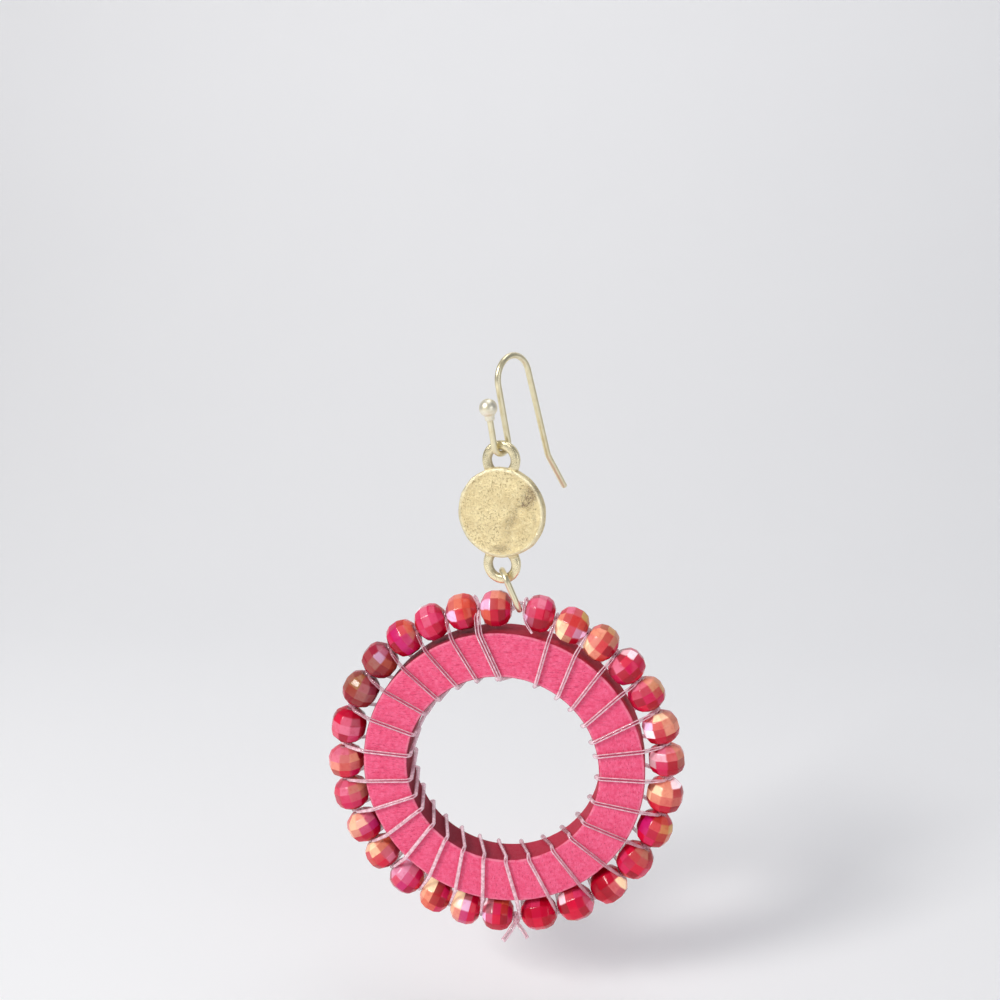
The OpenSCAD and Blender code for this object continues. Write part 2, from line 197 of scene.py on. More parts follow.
class Paint(Graph):
    """Nodes of one material, with the patterns that the finishes share."""

    def __init__(self, name: str) -> None:
        """Makes an empty material of that name."""
        self.material = bpy.data.materials.new(name)
        self.material.use_nodes = True
        self.material.node_tree.nodes.clear()
        super().__init__(self.material.node_tree)

    def vector_math(self, operation: str, first: Wire, second: object, key: Union[int, str] = 1) -> Wire:
        """One Vector Math node. The key names the second value's socket."""
        return self.add("ShaderNodeVectorMath", {"operation": operation}, {0: first, key: second})

    def place(self, centre: Point = (0.0, 0.0, 0.0)) -> Wire:
        """Object coordinates in millimetres from a centre, as a vector."""
        spot = self.add("ShaderNodeTexCoord", output="Object")
        return self.vector_math("SUBTRACT", self.vector_math("SCALE", spot, 1 / MM, "Scale"), centre)

    def attribute(self, name: str, output: str = "Fac") -> Wire:
        """A named attribute of the mesh."""
        return self.add("ShaderNodeAttribute", {"attribute_name": name}, output=output)

    def stretched(self, vector: Wire, scale: Point) -> Wire:
        """A vector multiplied by a scale for each axis."""
        return self.vector_math("MULTIPLY", vector, scale)

    def parts(self, vector: Wire) -> tuple[Wire, Wire, Wire]:
        """The three parts of a vector."""
        node = self.add("ShaderNodeSeparateXYZ", values={0: vector}).socket.node
        return tuple(Wire(self, node.outputs[i]) for i in range(3))

    def clouds(self, vector: Wire, scale: float, detail: float = 3.0, rough: float = 0.55) -> Wire:
        """Soft noise between 0 and 1.

        Args:
            vector: Where the noise is read.
            scale: Waves for each unit of the vector.
            detail: Number of finer layers.
            rough: Share of each finer layer.

        Returns:
            The noise value.
        """
        values = {"Vector": vector, "Scale": scale, "Detail": detail, "Roughness": rough}
        return self.add("ShaderNodeTexNoise", values=values)

    def cells(self, vector: Wire, scale: float) -> Wire:
        """Distance to the nearest seed point of a cell pattern."""
        return self.add("ShaderNodeTexVoronoi", values={"Vector": vector, "Scale": scale}, output="Distance")

    def mix(self, share: Number, first: Union[Wire, Colour], second: Union[Wire, Colour]) -> Wire:
        """Mixes two colours, with that share of the second one."""
        tones = [c if isinstance(c, Wire) else (*c, 1.0) for c in (first, second)]
        return self.add("ShaderNodeMix", {"data_type": "RGBA"}, {0: share, 6: tones[0], 7: tones[1]}, 2)

    def bump(self, height: Wire, depth: float, strength: Number = 1.0) -> Wire:
        """Normal from a height, where a height of 1 is that many millimetres deep."""
        values = {"Height": height, "Distance": depth * MM, "Strength": strength}
        return self.add("ShaderNodeBump", values=values)

    def finish(self, **sockets: object) -> bpy.types.Material:
        """Ends the material in one principled shader.

        Args:
            sockets: Socket names with underscores for spaces, and their values or wires.

        Returns:
            The material.
        """
        values = {name.replace("_", " "): value for name, value in sockets.items()}
        for name, value in values.items():
            if isinstance(value, tuple):
                values[name] = (*value, 1.0)
        shader = self.add("ShaderNodeBsdfPrincipled", values=values)
        output = self.tree.nodes.new("ShaderNodeOutputMaterial")
        self.tree.links.new(shader.socket, output.inputs[0])
        return self.material


# Finishes


@dataclass(frozen=True)
class CastGold:
    """Matte antique gold of the cast disc, with grainy pits, brown stains, and patina with painted shade in
    the hollows of its loops.
    """

    light: Colour = (0.93, 0.80, 0.47)
    warm: Colour = (0.84, 0.70, 0.39)
    grit: Colour = (0.38, 0.27, 0.13)
    stain_and_shade: Colour = (0.17, 0.10, 0.065)
    bright: Colour = (0.96, 0.88, 0.62)
    plate_r: float = 6.3
    rim_w: float = 0.62
    loop_z: float = 7.22
    loop_r: float = 1.4
    roughness: float = 0.27
    metallic: float = 0.9
    relief: float = 0.16

    def build(self) -> bpy.types.Material:
        """Makes the material from the disc's own place attribute."""
        paint = Paint("antique_gold")
        spot = paint.attribute("place", "Vector")
        across, up, _ = paint.parts(spot)
        far = (across * across + up * up) ** 0.5
        plate = far.step(self.plate_r + 0.3, self.plate_r - 0.1)
        # Grain: sandy specks in patches, and round pits
        sand = paint.clouds(spot, 3.2, 3.0, 0.85)
        fine = paint.clouds(spot, 7.0, 2.0, 0.7)
        pits = paint.cells(spot, 3.2).step(0.26, 0.08) * paint.clouds(spot, 0.7).step(0.42, 0.58)
        patch = paint.clouds(spot, 0.55, 2.0).step(0.62, 0.40) * 0.65 + 0.35
        speck = (sand.step(0.50, 0.62) * 0.8 * patch + pits * 0.5).clamped()
        tone = paint.mix(paint.clouds(spot, 0.45, 2.0).step(0.35, 0.7), self.light, self.warm)
        tone = paint.mix(speck * (0.2 + plate * 0.8), tone, self.grit)
        # Rubbed bright: the highest grains, the loops and the rim
        tone = paint.mix((sand.step(0.46, 0.36) * 0.6 + (1.0 - plate) * 0.5).clamped(), tone, self.bright)
        rim_start, rim_end = self.plate_r - self.rim_w, self.plate_r
        rim = far.step(rim_start, rim_start + 0.2) * far.step(rim_end - 0.02, rim_end - 0.14)
        tone = paint.mix(rim * (0.35 + fine * 0.5), tone, self.bright)
        # Dark: the stains, and the insides of the loops and the seam where they join, partly patina and
        # partly painted shade
        share = self._stains(across, up, sand).clamped()
        share = share * (0.30 + paint.clouds(spot, 4.6, 3.0, 0.85).step(0.44, 0.58) * 0.85 + speck * 0.3)
        above = up.math("ABSOLUTE") - self.loop_z
        hole = ((across * across + above ** 2.0) ** 0.5).step(self.loop_r + 0.42, self.loop_r)
        seam = far.step(self.plate_r + 0.34, self.plate_r + 0.06)
        share = share + (1.0 - plate) * (hole * 0.55 + seam * 0.35) * (0.5 + fine.step(0.35, 0.6) * 0.5)
        return paint.finish(
            Base_Color=paint.mix(share.clamped(), tone, self.stain_and_shade),
            Metallic=self.metallic - share * 0.35,
            Roughness=self.roughness + share * 0.25 + plate * 0.22 - rim * 0.2,
            Normal=paint.bump(sand * 0.7 + fine * 0.3 - pits * 0.4, self.relief, 0.3 + plate * 0.7),
        )

    def _stains(self, across: Wire, up: Wire, sand: Wire) -> Wire:
        """Stained patches of the front, with edges broken up by the sandy grain."""
        total: Number = 0.0
        for x, z, wide, tall, turn, strength in STAINS:
            c, s = math.cos(math.radians(turn)), math.sin(math.radians(turn))
            u = ((across - x) * c + (up - z) * s) / wide
            w = ((up - z) * c - (across - x) * s) / tall
            far = (u * u + w * w) ** 0.5
            total = (far + (sand - 0.5) * 2.6).step(1.05, 0.45) * strength + total
        return total


# Stained patches: middle across and up, half width, half height, turn, strength
STAINS = [
    (4.2, 2.5, 1.3, 2.0, -25, 0.70),
    (1.6, -0.9, 0.9, 2.8, -22, 0.36),
    (3.3, 1.2, 1.0, 0.28, 20, 0.75),
    (0.0, -5.0, 1.7, 0.7, 0, 0.42),
    (4.9, -0.6, 0.4, 0.9, 10, 0.3),
]


@dataclass(frozen=True)
class PlatedGold:
    """Pale gold plating of the bent wires, smooth with faint rubbing."""

    light: Colour = (0.90, 0.82, 0.57)
    dull: Colour = (0.80, 0.69, 0.41)
    roughness: float = 0.26
    metallic: float = 0.9
    scratch: Point = (9.0, 9.0, 3.0)
    relief: float = 0.015

    def build(self) -> bpy.types.Material:
        """Makes the material."""
        paint = Paint("gold_plating")
        spot = paint.place()
        rub = paint.clouds(spot, 0.9, 3.0)
        fine = paint.clouds(paint.stretched(spot, self.scratch), 1.0, 3.0)
        return paint.finish(
            Base_Color=paint.mix(rub.step(0.4, 0.8) * 0.7, self.light, self.dull),
            Metallic=self.metallic,
            Roughness=self.roughness + rub * 0.14,
            Normal=paint.bump(fine, self.relief, 0.5),
        )


@dataclass(frozen=True)
class DyedWood:
    """Wood dyed pink, darker on its outer and inner walls from the dye and painted shade, paler at its edges
    from wear of the dye and a painted highlight.
    """

    centre: Point
    outer_r: float
    inner_r: float
    pink: Colour = (0.90, 0.085, 0.205)
    light: Colour = (0.98, 0.160, 0.310)
    deep: Colour = (0.55, 0.020, 0.085)
    # Dark dye of the walls with painted shade, and a painted shadow for their darkest side
    wall: Colour = (0.50, 0.014, 0.040)
    shadow: Colour = (0.20, 0.004, 0.012)
    # Pale colour of the grain flecks, also the painted highlight on the edges
    worn_and_sheen: Colour = (0.98, 0.34, 0.46)
    fibre: Point = (0.6, 1.5, 3.8)
    lying: Point = (1.7, 2.0, 6.4)
    standing: Point = (6.4, 2.0, 1.9)
    relief: float = 0.08

    def build(self) -> bpy.types.Material:
        """Makes the material on the ring's own centre, with grain across and flecks that turn upright."""
        paint = Paint("dyed_wood")
        spot = paint.place(self.centre)
        across, depth, up = paint.parts(spot)
        far = (across * across + up * up) ** 0.5
        # Grain: long fibres, and short flecks that lie at the left and stand at the right
        fibre = paint.clouds(paint.stretched(spot, self.fibre), 1.0, 4.0, 0.65)
        lying = paint.clouds(paint.stretched(spot, self.lying), 1.0, 3.0, 0.7)
        standing = paint.clouds(paint.stretched(spot, self.standing), 1.0, 3.0, 0.7)
        turned = (across - up).step(-4.0, 14.0)
        fleck = lying * (1.0 - turned) + standing * turned
        mottle = paint.clouds(spot, 2.2, 4.0, 0.7)
        tone = paint.mix(mottle.step(0.34, 0.68), self.pink, self.light)
        tone = paint.mix(fibre.step(0.52, 0.72) * (1.0 - turned * 0.6) * 0.55, tone, self.deep)
        tone = paint.mix(fleck.step(0.55, 0.68) * 0.85, tone, self.deep)
        tone = paint.mix(fleck.step(0.44, 0.28) * 0.60, tone, self.worn_and_sheen)
        # Walls darker from the dye and painted shade, darkest at the lower left; edges paler from wear of the
        # dye and a painted highlight
        side = self._near_walls(far, 0.16, 0.04)
        wall = paint.mix((across + depth).step(-9.0, 9.0), self.shadow, self.wall)
        tone = paint.mix(side * 0.88, tone, wall)
        # Paler edges: wear of the dye and a painted highlight
        worn_edge_and_sheen = self._near_walls(far, 0.48, 0.3) * (1.0 - side) * paint.clouds(spot, 1.4).step(0.3, 0.6)
        tone = paint.mix(worn_edge_and_sheen * 0.5, tone, self.worn_and_sheen)
        return paint.finish(
            Base_Color=tone,
            Roughness=0.62 + fibre * 0.2,
            Specular_IOR_Level=0.3,
            Normal=paint.bump(fibre * 0.4 + mottle * 0.4 - fleck * 0.5, self.relief, 0.7),
        )

    def _near_walls(self, far: Wire, start: float, full: float) -> Wire:
        """Share that grows towards the outer and the inner wall, from one depth in the wood to another."""
        outer = far.step(self.outer_r - start, self.outer_r - full)
        return outer + far.step(self.inner_r + start, self.inner_r + full)


@dataclass(frozen=True)
class CoatedGlass:
    """Opaque red glass with a bright coating that gives each facet its own tint, and a painted glow on the
    palest facets.
    """

    name: str
    shade: float
    heart: Colour = (0.62, 0.004, 0.030)
    night: Colour = (0.06, 0.0, 0.008)
    painted_glow: float = 0.42
    gloss: float = 0.34
    ior: float = 1.5

    def build(self) -> bpy.types.Material:
        """Makes the material from the colours that the facets carry. The palest ones carry a painted glow."""
        paint = Paint(self.name)
        spot = paint.place()
        drift = paint.clouds(spot, 0.8, 2.0)
        pool = paint.clouds(spot, 1.7, 3.0)
        tone = paint.attribute("tone", "Color")
        tint = paint.mix(pool.step(0.46, 0.74) * 0.3, tone, self.heart)
        # Painted glow on the palest facets, standing in for reflected light
        green = paint.add("ShaderNodeSeparateColor", values={0: tone}, output=1)
        glow = green.step(0.1, 0.9) * self.painted_glow * self.shade
        return paint.finish(
            Base_Color=paint.mix(1.0 - self.shade, tint, self.night),
            Roughness=0.1 + drift * 0.12,
            IOR=self.ior,
            Specular_IOR_Level=self.gloss,
            Emission_Color=paint.mix(glow, BLACK, tone),
            Emission_Strength=1.0,
            Normal=paint.bump(drift, 0.02, 0.5),
        )


@dataclass(frozen=True)
class ClearCord:
    """Clear filament, see-through along its middle, with painted highlights along both sides."""

    centre: Point
    middle: Colour = (0.45, 0.07, 0.14)
    # Colour of the painted highlights along the sides, and their painted glow
    edge: Colour = (1.0, 0.78, 0.85)
    highlight_glow: Colour = (0.12, 0.07, 0.09)
    roughness: float = 0.16
    clear: float = 0.34
    ior: float = 1.5

    def build(self) -> bpy.types.Material:
        """Makes the material, with its painted highlights fainter at the hoop's upper left and lower right.
        """
        paint = Paint("clear_filament")
        spot = paint.place(self.centre)
        side = paint.attribute("side")
        ripple = paint.clouds(spot, 1.6, 3.0)
        across, _, up = paint.parts(spot)
        # Painted highlights: bright lines along both sides, fainter at the upper left and lower right
        line = side.step(0.30, 0.55) * side.step(0.97, 0.86) * (0.55 + ripple.step(0.3, 0.7) * 0.45)
        line = line * (1.0 - (across * up).step(-50.0, -190.0) * 0.5)
        return paint.finish(
            Base_Color=paint.mix(line, self.middle, self.edge),
            Alpha=self.clear + line * 0.46,
            Emission_Color=paint.mix(line, BLACK, self.highlight_glow),
            Emission_Strength=1.0,
            Roughness=self.roughness + ripple * 0.1,
            IOR=self.ior,
            Coat_Weight=0.6,
            Coat_Roughness=0.05,
            Normal=paint.bump(ripple, 0.03, 0.3),
        )


# Mesh making


def mesh_piece(
    name: str,
    points: np.ndarray,
    faces: Sequence[Sequence[int]],
    material: bpy.types.Material,
    smooth: bool = True,
) -> bpy.types.Object:
    """Makes one object from points and faces, with its place in its mesh.

    Args:
        name: The object's name.
        points: Points in millimetres, in the part's frame.
        faces: Corners of each face.
        material: Its finish.
        smooth: Whether it is shaded smooth.

    Returns:
        The object.
    """
    mesh = bpy.data.meshes.new(name)
    mesh.from_pydata((np.asarray(points, float) * MM).tolist(), [], [list(f) for f in faces])
    mesh.polygons.foreach_set("use_smooth", [smooth] * len(mesh.polygons))
    mesh.materials.append(material)
    mesh.update()
    return placed(name, mesh)


def placed(name: str, mesh: bpy.types.Mesh) -> bpy.types.Object:
    """Puts a mesh in the scene as an object at the origin."""
    piece = bpy.data.objects.new(name, mesh)
    bpy.context.scene.collection.objects.link(piece)
    return piece


def face_out(piece: bpy.types.Object, tolerance: float = 0.0) -> bpy.types.Object:
    """Merges points within a tolerance, if it isn't 0, and turns all faces outwards."""
    work = bmesh.new()
    work.from_mesh(piece.data)
    if tolerance:
        bmesh.ops.remove_doubles(work, verts=work.verts, dist=tolerance * MM)
    bmesh.ops.recalc_face_normals(work, faces=work.faces)
    work.to_mesh(piece.data)
    work.free()
    return piece


def store(mesh: bpy.types.Mesh, name: str, kind: str, values: Sequence[float]) -> None:
    """Stores a number, a vector or a colour at each point of a mesh, under a name."""
    key = {"FLOAT": "value", "FLOAT_VECTOR": "vector", "FLOAT_COLOR": "color"}[kind]
    flat = np.asarray(values, np.float32).ravel()
    mesh.attributes.new(name, kind, "POINT").data.foreach_set(key, flat)


def read(items: bpy.types.bpy_prop_collection, key: str, width: int = 1, kind: type = float) -> np.ndarray:
    """Reads one property of all items, in rows where it has more than one number."""
    values = np.empty(len(items) * width, kind)
    items.foreach_get(key, values)
    return values.reshape(-1, width) if width > 1 else values


def grid_faces(rows: int, columns: int, close_rows: bool, close_columns: bool) -> list[list[int]]:
    """Faces of a grid of points.

    Args:
        rows: Number of rows.
        columns: Number of points in a row.
        close_rows: Whether the last row joins the first.
        close_columns: Whether each row is a loop.

    Returns:
        Corners of each face.
    """
    found = []
    for i in range(rows if close_rows else rows - 1):
        for j in range(columns if close_columns else columns - 1):
            here, there = i * columns, (i + 1) % rows * columns
            following = (j + 1) % columns
            found.append([here + j, here + following, there + following, there + j])
    return found


def on_circle(centre: Sequence[float], r: float, a: float) -> np.ndarray:
    """A place at an angle in degrees on a circle in a flat drawing."""
    t = math.radians(a)
    return np.asarray(centre, float) + r * np.array([math.cos(t), math.sin(t)])


def swell(value: float, power: float) -> float:
    """A power that keeps the value's sign, which turns a circle's sine or cosine into a fuller curve."""
    return math.copysign(abs(value) ** power, value)


def soften(
    points: Sequence[np.ndarray], reach: float, steps: int = 4, closed: bool = False
) -> list[np.ndarray]:
    """Rounds the corners of a line of points.

    Args:
        points: The line's points.
        reach: Greatest distance from a corner at which its bend starts.
        steps: Number of points on each bend.
        closed: Whether the line is a loop.

    Returns:
        The rounded line's points.
    """
    line, count = [], len(points)
    for i, here in enumerate(points):
        if not closed and i in (0, count - 1):
            line.append(here)
            continue
        back, ahead = points[i - 1] - here, points[(i + 1) % count] - here
        lengths = [max(np.linalg.norm(way[:3]), 1e-9) for way in (back, ahead)]
        cut = min(reach, 0.45 * min(lengths))
        start, end = [here + way * cut / length for way, length in zip((back, ahead), lengths)]
        for t in np.linspace(0, 1, steps):
            line.append((1 - t) ** 2 * start + 2 * t * (1 - t) * here + t * t * end)
    return line


class Tree(Graph):
    """A Geometry Nodes tree with named inputs."""

    def __init__(self, name: str, inputs: dict[str, str]) -> None:
        """Makes the tree with a mesh input, named inputs and a mesh output.

        Args:
            name: The tree's name.
            inputs: Socket type of each named input.
        """
        super().__init__(bpy.data.node_groups.new(name, "GeometryNodeTree"))
        face = self.tree.interface
        face.new_socket("Mesh", in_out="OUTPUT", socket_type="NodeSocketGeometry")
        face.new_socket("Mesh", in_out="INPUT", socket_type="NodeSocketGeometry")
        self.keys = {}
        for key, kind in inputs.items():
            self.keys[key] = face.new_socket(key, in_out="INPUT", socket_type=kind).identifier
        source = self.tree.nodes.new("NodeGroupInput")
        self.source = {s.name: Wire(self, s) for s in source.outputs if s.name}

    def named(self, name: str, kind: str) -> Wire:
        """A named attribute of the mesh that the tree starts from."""
        return self.add("GeometryNodeInputNamedAttribute", {"data_type": kind}, {"Name": name})

    def end(self, shape: Wire) -> None:
        """Ends the tree in Realize Instances and Set Material."""
        real = self.add("GeometryNodeRealizeInstances", values={0: shape})
        finish = {"Geometry": real, "Material": self.source["Finish"]}
        dressed = self.add("GeometryNodeSetMaterial", values=finish)
        output = self.tree.nodes.new("NodeGroupOutput")
        self.tree.links.new(dressed.socket, output.inputs[0])

    def grow(self, name: str, seed: bpy.types.Mesh, values: dict[str, object]) -> bpy.types.Object:
        """Runs the tree on a mesh and keeps the result as a plain mesh.

        Args:
            name: Name of the new piece.
            seed: Mesh that the tree starts from.
            values: Value of each named input.

        Returns:
            The new piece, with no modifier left on it.
        """
        carrier = placed(name + "_seed", seed)
        modifier = carrier.modifiers.new("grow", "NODES")
        modifier.node_group = self.tree
        for key, value in values.items():
            modifier[self.keys[key]] = value
        bpy.context.view_layer.update()
        shape = bpy.data.meshes.new_from_object(carrier.evaluated_get(bpy.context.evaluated_depsgraph_get()))
        bpy.data.objects.remove(carrier)
        shape.name = name
        return placed(name, shape)


class TubeTree(Tree):
    """Sweeps a round section along a line of points, with a width share at each point."""

    def __init__(self) -> None:
        """Builds the tree."""
        kinds = {"Radius": "NodeSocketFloat", "Sides": "NodeSocketInt", "Finish": "NodeSocketMaterial"}
        super().__init__("round_tube", kinds)
        line = self.add("GeometryNodeMeshToCurve", values={0: self.source["Mesh"]})
        circle = {"Resolution": self.source["Sides"], "Radius": self.source["Radius"]}
        section = self.add("GeometryNodeCurvePrimitiveCircle", values=circle)
        width = self.named("width", "FLOAT")
        sweep = {"Curve": line, "Profile Curve": section, "Scale": width, "Fill Caps": True}
        tube = self.add("GeometryNodeCurveToMesh", values=sweep)
        self.end(self.add("GeometryNodeSetShadeSmooth", values={0: tube, "Shade Smooth": True}))

    def tube(
        self, name: str, lines: Sequence[Line], radius: float, finish: bpy.types.Material, sides: int
    ) -> bpy.types.Object:
        """Makes one piece of round tubes.

        Args:
            name: Name of the piece.
            lines: Each line's points as (x, y, z, width share), and whether it is a loop.
            radius: Radius of the tube, in millimetres.
            finish: Its material.
            sides: Number of sides of the section.

        Returns:
            The piece.
        """
        edges, start = [], 0
        for line, closed in lines:
            count = len(line)
            edges += [(start + i, start + i + 1) for i in range(count - 1)]
            if closed:
                edges.append((start + count - 1, start))
            start += count
        rows = np.vstack([np.asarray(line, float) for line, _ in lines])
        seed = bpy.data.meshes.new(name + "_line")
        seed.from_pydata((rows[:, :3] * MM).tolist(), edges, [])
        store(seed, "width", "FLOAT", rows[:, 3])
        return face_out(self.grow(name, seed, {"Radius": radius * MM, "Sides": sides, "Finish": finish}))


class BeadTree(Tree):
    """Sets one bead shape on each seat, turned and stretched as the seat says."""

    def __init__(self) -> None:
        """Builds the tree."""
        super().__init__("bead_seats", {"Bead": "NodeSocketObject", "Finish": "NodeSocketMaterial"})
        bead = self.add("GeometryNodeObjectInfo", values={"Object": self.source["Bead"]}, output="Geometry")
        turn = self.add("FunctionNodeEulerToRotation", values={0: self.named("turn", "FLOAT_VECTOR")})
        stretch = self.named("stretch", "FLOAT_VECTOR")
        seats = {"Points": self.source["Mesh"], "Instance": bead, "Rotation": turn, "Scale": stretch}
        self.end(self.add("GeometryNodeInstanceOnPoints", values=seats))


# Shared layout of the hoop

# One row for each bead, clockwise from the top as seen from the front: angle to the
# next bead, turn of the bead about the string, lean of the strand after it
BEAD_ROWS = [
    (15.2, 8, 0), (11.7, 21, 1.5), (11.7, 3, 4.3), (12.0, 30, 3.1), (11.8, 14, 3.6), (12.8, 26, 2.6),
    (11.8, 5, -0.8), (13.1, 17, 0.3), (13.3, 33, 2.3), (14.1, 10, 3.2), (13.6, 24, 2.0), (14.2, 2, 1.8),
    (14.0, 19, 3.5), (15.1, 28, 4.0), (11.9, 7, 3.0), (11.8, 32, 4.3), (12.6, 12, 4.5), (12.8, 22, 3.6),
    (11.9, 1, 3.4), (13.1, 16, 0.4), (12.3, 29, -1.6), (13.9, 9, 0.8), (14.4, 35, 0.6), (13.2, 13, 2.3),
    (12.3, 25, 2.1), (11.7, 4, 4.3), (11.8, 18, 5.1), (11.9, 31, 7.4),
]


@dataclass
class HoopLayout:
    """Where things lie round the hoop. Its own frame has its centre at the string circle's."""

    hang_x: float = -1.4913
    hoop_x: float = -0.0406
    hang_y: float = -2.1298
    hoop_z: float = -57.2644
    string_r: float = 23.0
    rise: float = 0.925
    hold_angle: float = 5.95
    wood_outer_r: float = 20.0
    wood_inner_r: float = 13.6
    wood_t: float = 5.0
    wood_edge_r: float = 0.3
    wood_setback: float = 0.6
    filament_r: float = 0.3
    seat_gap: float = 0.06
    first_angle: float = -2.0
    jump_row: int = 0
    knot_row: int = 13
    knot_aside: float = -0.95
    eye: Point = (19.34, -142.91, 63.21)

    @property
    def centre(self) -> np.ndarray:
        """Centre of the string circle in the part's frame."""
        return np.array([self.hang_x + self.hoop_x, self.hang_y, self.hoop_z])

    @property
    def wood_centre(self) -> Point:
        """Centre of the wooden ring in the part's frame."""
        x, y, z = self.centre
        return (float(x), float(y) + self.wood_setback, float(z))

    @property
    def viewer(self) -> np.ndarray:
        """The viewer's place in the part's frame."""
        return np.array(self.wood_centre) + np.array(self.eye)

    def bead_angle(self, i: int) -> float:
        """Angle of a bead, clockwise from the top."""
        return self.first_angle + sum(row[0] for row in BEAD_ROWS[:i])

    def gap_angle(self, i: int) -> float:
        """Angle of the gap after a bead."""
        return self.bead_angle(i) + BEAD_ROWS[i][0] / 2

    def strand_angle(self, i: int) -> float:
        """Angle of the strand of filament in the gap after a bead."""
        return self.gap_angle(i) + (self.knot_aside if i == self.knot_row else 0.0)

    def spot(self, angle: float, r: float, y: float) -> np.ndarray:
        """A place on the hoop.

        Args:
            angle: Angle in degrees, clockwise from the top.
            r: Distance from the centre.
            y: Distance behind the string's plane.

        Returns:
            The place in the part's frame.
        """
        a = math.radians(angle)
        return self.centre + np.array([r * math.sin(a), y, r * math.cos(a)])


# Sub-assemblies


@dataclass
class EarHook:
    """Bent ear wire with its small loop, ball and tail."""

    tubes: TubeTree
    wire_d: float = 0.85
    arc_r: float = 3.15
    drop: float = 8.55
    front: float = 2.6
    loop_r: float = 1.4
    front_leg: float = 5.35
    front_lean: float = 12.0
    ball_d: float = 2.45
    tail_lean: float = 19.0
    tail_len: float = 12.4
    end_lean: float = 37.0
    end_len: float = 5.4
    bend_r: float = 3.0
    swivel: float = 35.0
    neck_d: float = 1.3
    neck_len: float = 1.7
    tip: tuple[tuple[float, float], ...] = ((0.0, 1.0), (0.2, 1.0), (0.32, 0.9), (0.4, 0.6), (0.43, 0.25))

    def build(self) -> list[bpy.types.Object]:
        """Makes the wire and the ball, dresses them and hides the plain solid.

        Returns:
            The pieces.
        """
        finish = PlatedGold().build()
        wire = self.tubes.tube("ear_wire", [(self._lift(self._path()), False)], self.wire_d / 2, finish, 24)
        ball = self._ball(PlatedGold(light=(0.95, 0.90, 0.74), roughness=0.36).build())
        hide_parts("ear_hook")
        for piece in (wire, ball):
            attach(piece, Body.HOOK.value)
        return [wire, ball]

    @property
    def _arc(self) -> np.ndarray:
        """Centre of the arc that goes through the ear, in the wire's own plane."""
        return np.array([0.0, self.wire_d / 2 - self.arc_r])

    @property
    def _loop(self) -> np.ndarray:
        """Centre of the small loop, in the wire's own plane."""
        return self._arc - np.array([self.front, self.drop])

    def _lift(self, flat: np.ndarray) -> np.ndarray:
        """Turns (depth, height, width share) rows into rows in the part's frame."""
        a = math.radians(self.swivel)
        return np.column_stack([flat[:, 0] * math.sin(a), flat[:, 0] * math.cos(a), flat[:, 1], flat[:, 2]])

    def _path(self) -> np.ndarray:
        """The wire's middle line, from the ball round the loop and over the arc to the tail's tip."""
        arc, loop = self._arc, self._loop
        reach = math.hypot(self.front, self.drop)
        straight = math.acos((self.arc_r + self.loop_r) / reach)
        lean = math.degrees(math.atan2(self.drop, self.front) - straight)
        front_from = 180 + self.front_lean
        rows = [on_circle(on_circle(loop, self.loop_r, front_from), self.front_leg, 90 + self.front_lean)]
        rows += [on_circle(loop, self.loop_r, a) for a in np.linspace(front_from, 360 + lean, 40)]
        rows += [on_circle(arc, self.arc_r, a) for a in np.linspace(180 + lean, self.tail_lean, 48)]
        bend_start = on_circle(rows[-1], self.tail_len, self.tail_lean - 90)
        bend = on_circle(bend_start, self.bend_r, self.tail_lean)
        rows += [on_circle(bend, self.bend_r, 180 + a) for a in np.linspace(self.tail_lean, self.end_lean, 8)]
        end_start, way = rows[-1], self.end_lean - 90
        widths = [1.0] * len(rows)
        for past, share in self.tip:
            rows.append(on_circle(end_start, self.end_len + past, way))
            widths.append(share)
        return np.column_stack([np.array(rows), widths])

    def _ball(self, finish: bpy.types.Material) -> bpy.types.Object:
        """The ball on the wire's front end, with its neck and the small dimple in its top."""
        r, neck, low = self.ball_d / 2, self.neck_d / 2, -self.neck_len
        profile = [(0.0, r - 0.10), (0.22, r - 0.085), (0.36, r - 0.04)]
        profile += [(r * math.sin(t), r * math.cos(t)) for t in np.linspace(0.36, 2.52, 26)]
        profile += [(neck + 0.06, -r * 0.88), (neck, -r - 0.05), (neck, low + 0.12), (neck - 0.06, low)]
        profile.append((0.0, low))
        start = on_circle(self._loop, self.loop_r, 180 + self.front_lean)
        middle, tip = [on_circle(start, self.front_leg + more, 90 + self.front_lean) for more in (0.0, 1.0)]
        ends = self._lift(np.array([[*middle, 1.0], [*tip, 1.0]]))[:, :3]
        axis = ends[1] - ends[0]
        side = np.cross(axis, [0.0, 0.0, 1.0])
        side /= np.linalg.norm(side)
        turn = np.column_stack([side, np.cross(axis, side), axis])
        points, faces = revolve(profile, 40)
        return face_out(mesh_piece("wire_ball", points @ turn.T + ends[0], faces, finish), 0.001)


def revolve(
    profile: Sequence[tuple[float, float]], sides: int, closed: bool = False
) -> tuple[np.ndarray, list[list[int]]]:
    """Turns a profile of (radius, height) about the Z axis.

    Args:
        profile: The profile, from its upper end to its lower one.
        sides: Number of points round.
        closed: Whether the profile is a loop.

    Returns:
        The points, and each face's corners.
    """
    turns = np.arange(sides) * 2 * math.pi / sides
    rows = [[r * math.cos(t), r * math.sin(t), h] for r, h in profile for t in turns]
    return np.array(rows), grid_faces(len(profile), sides, closed, True)


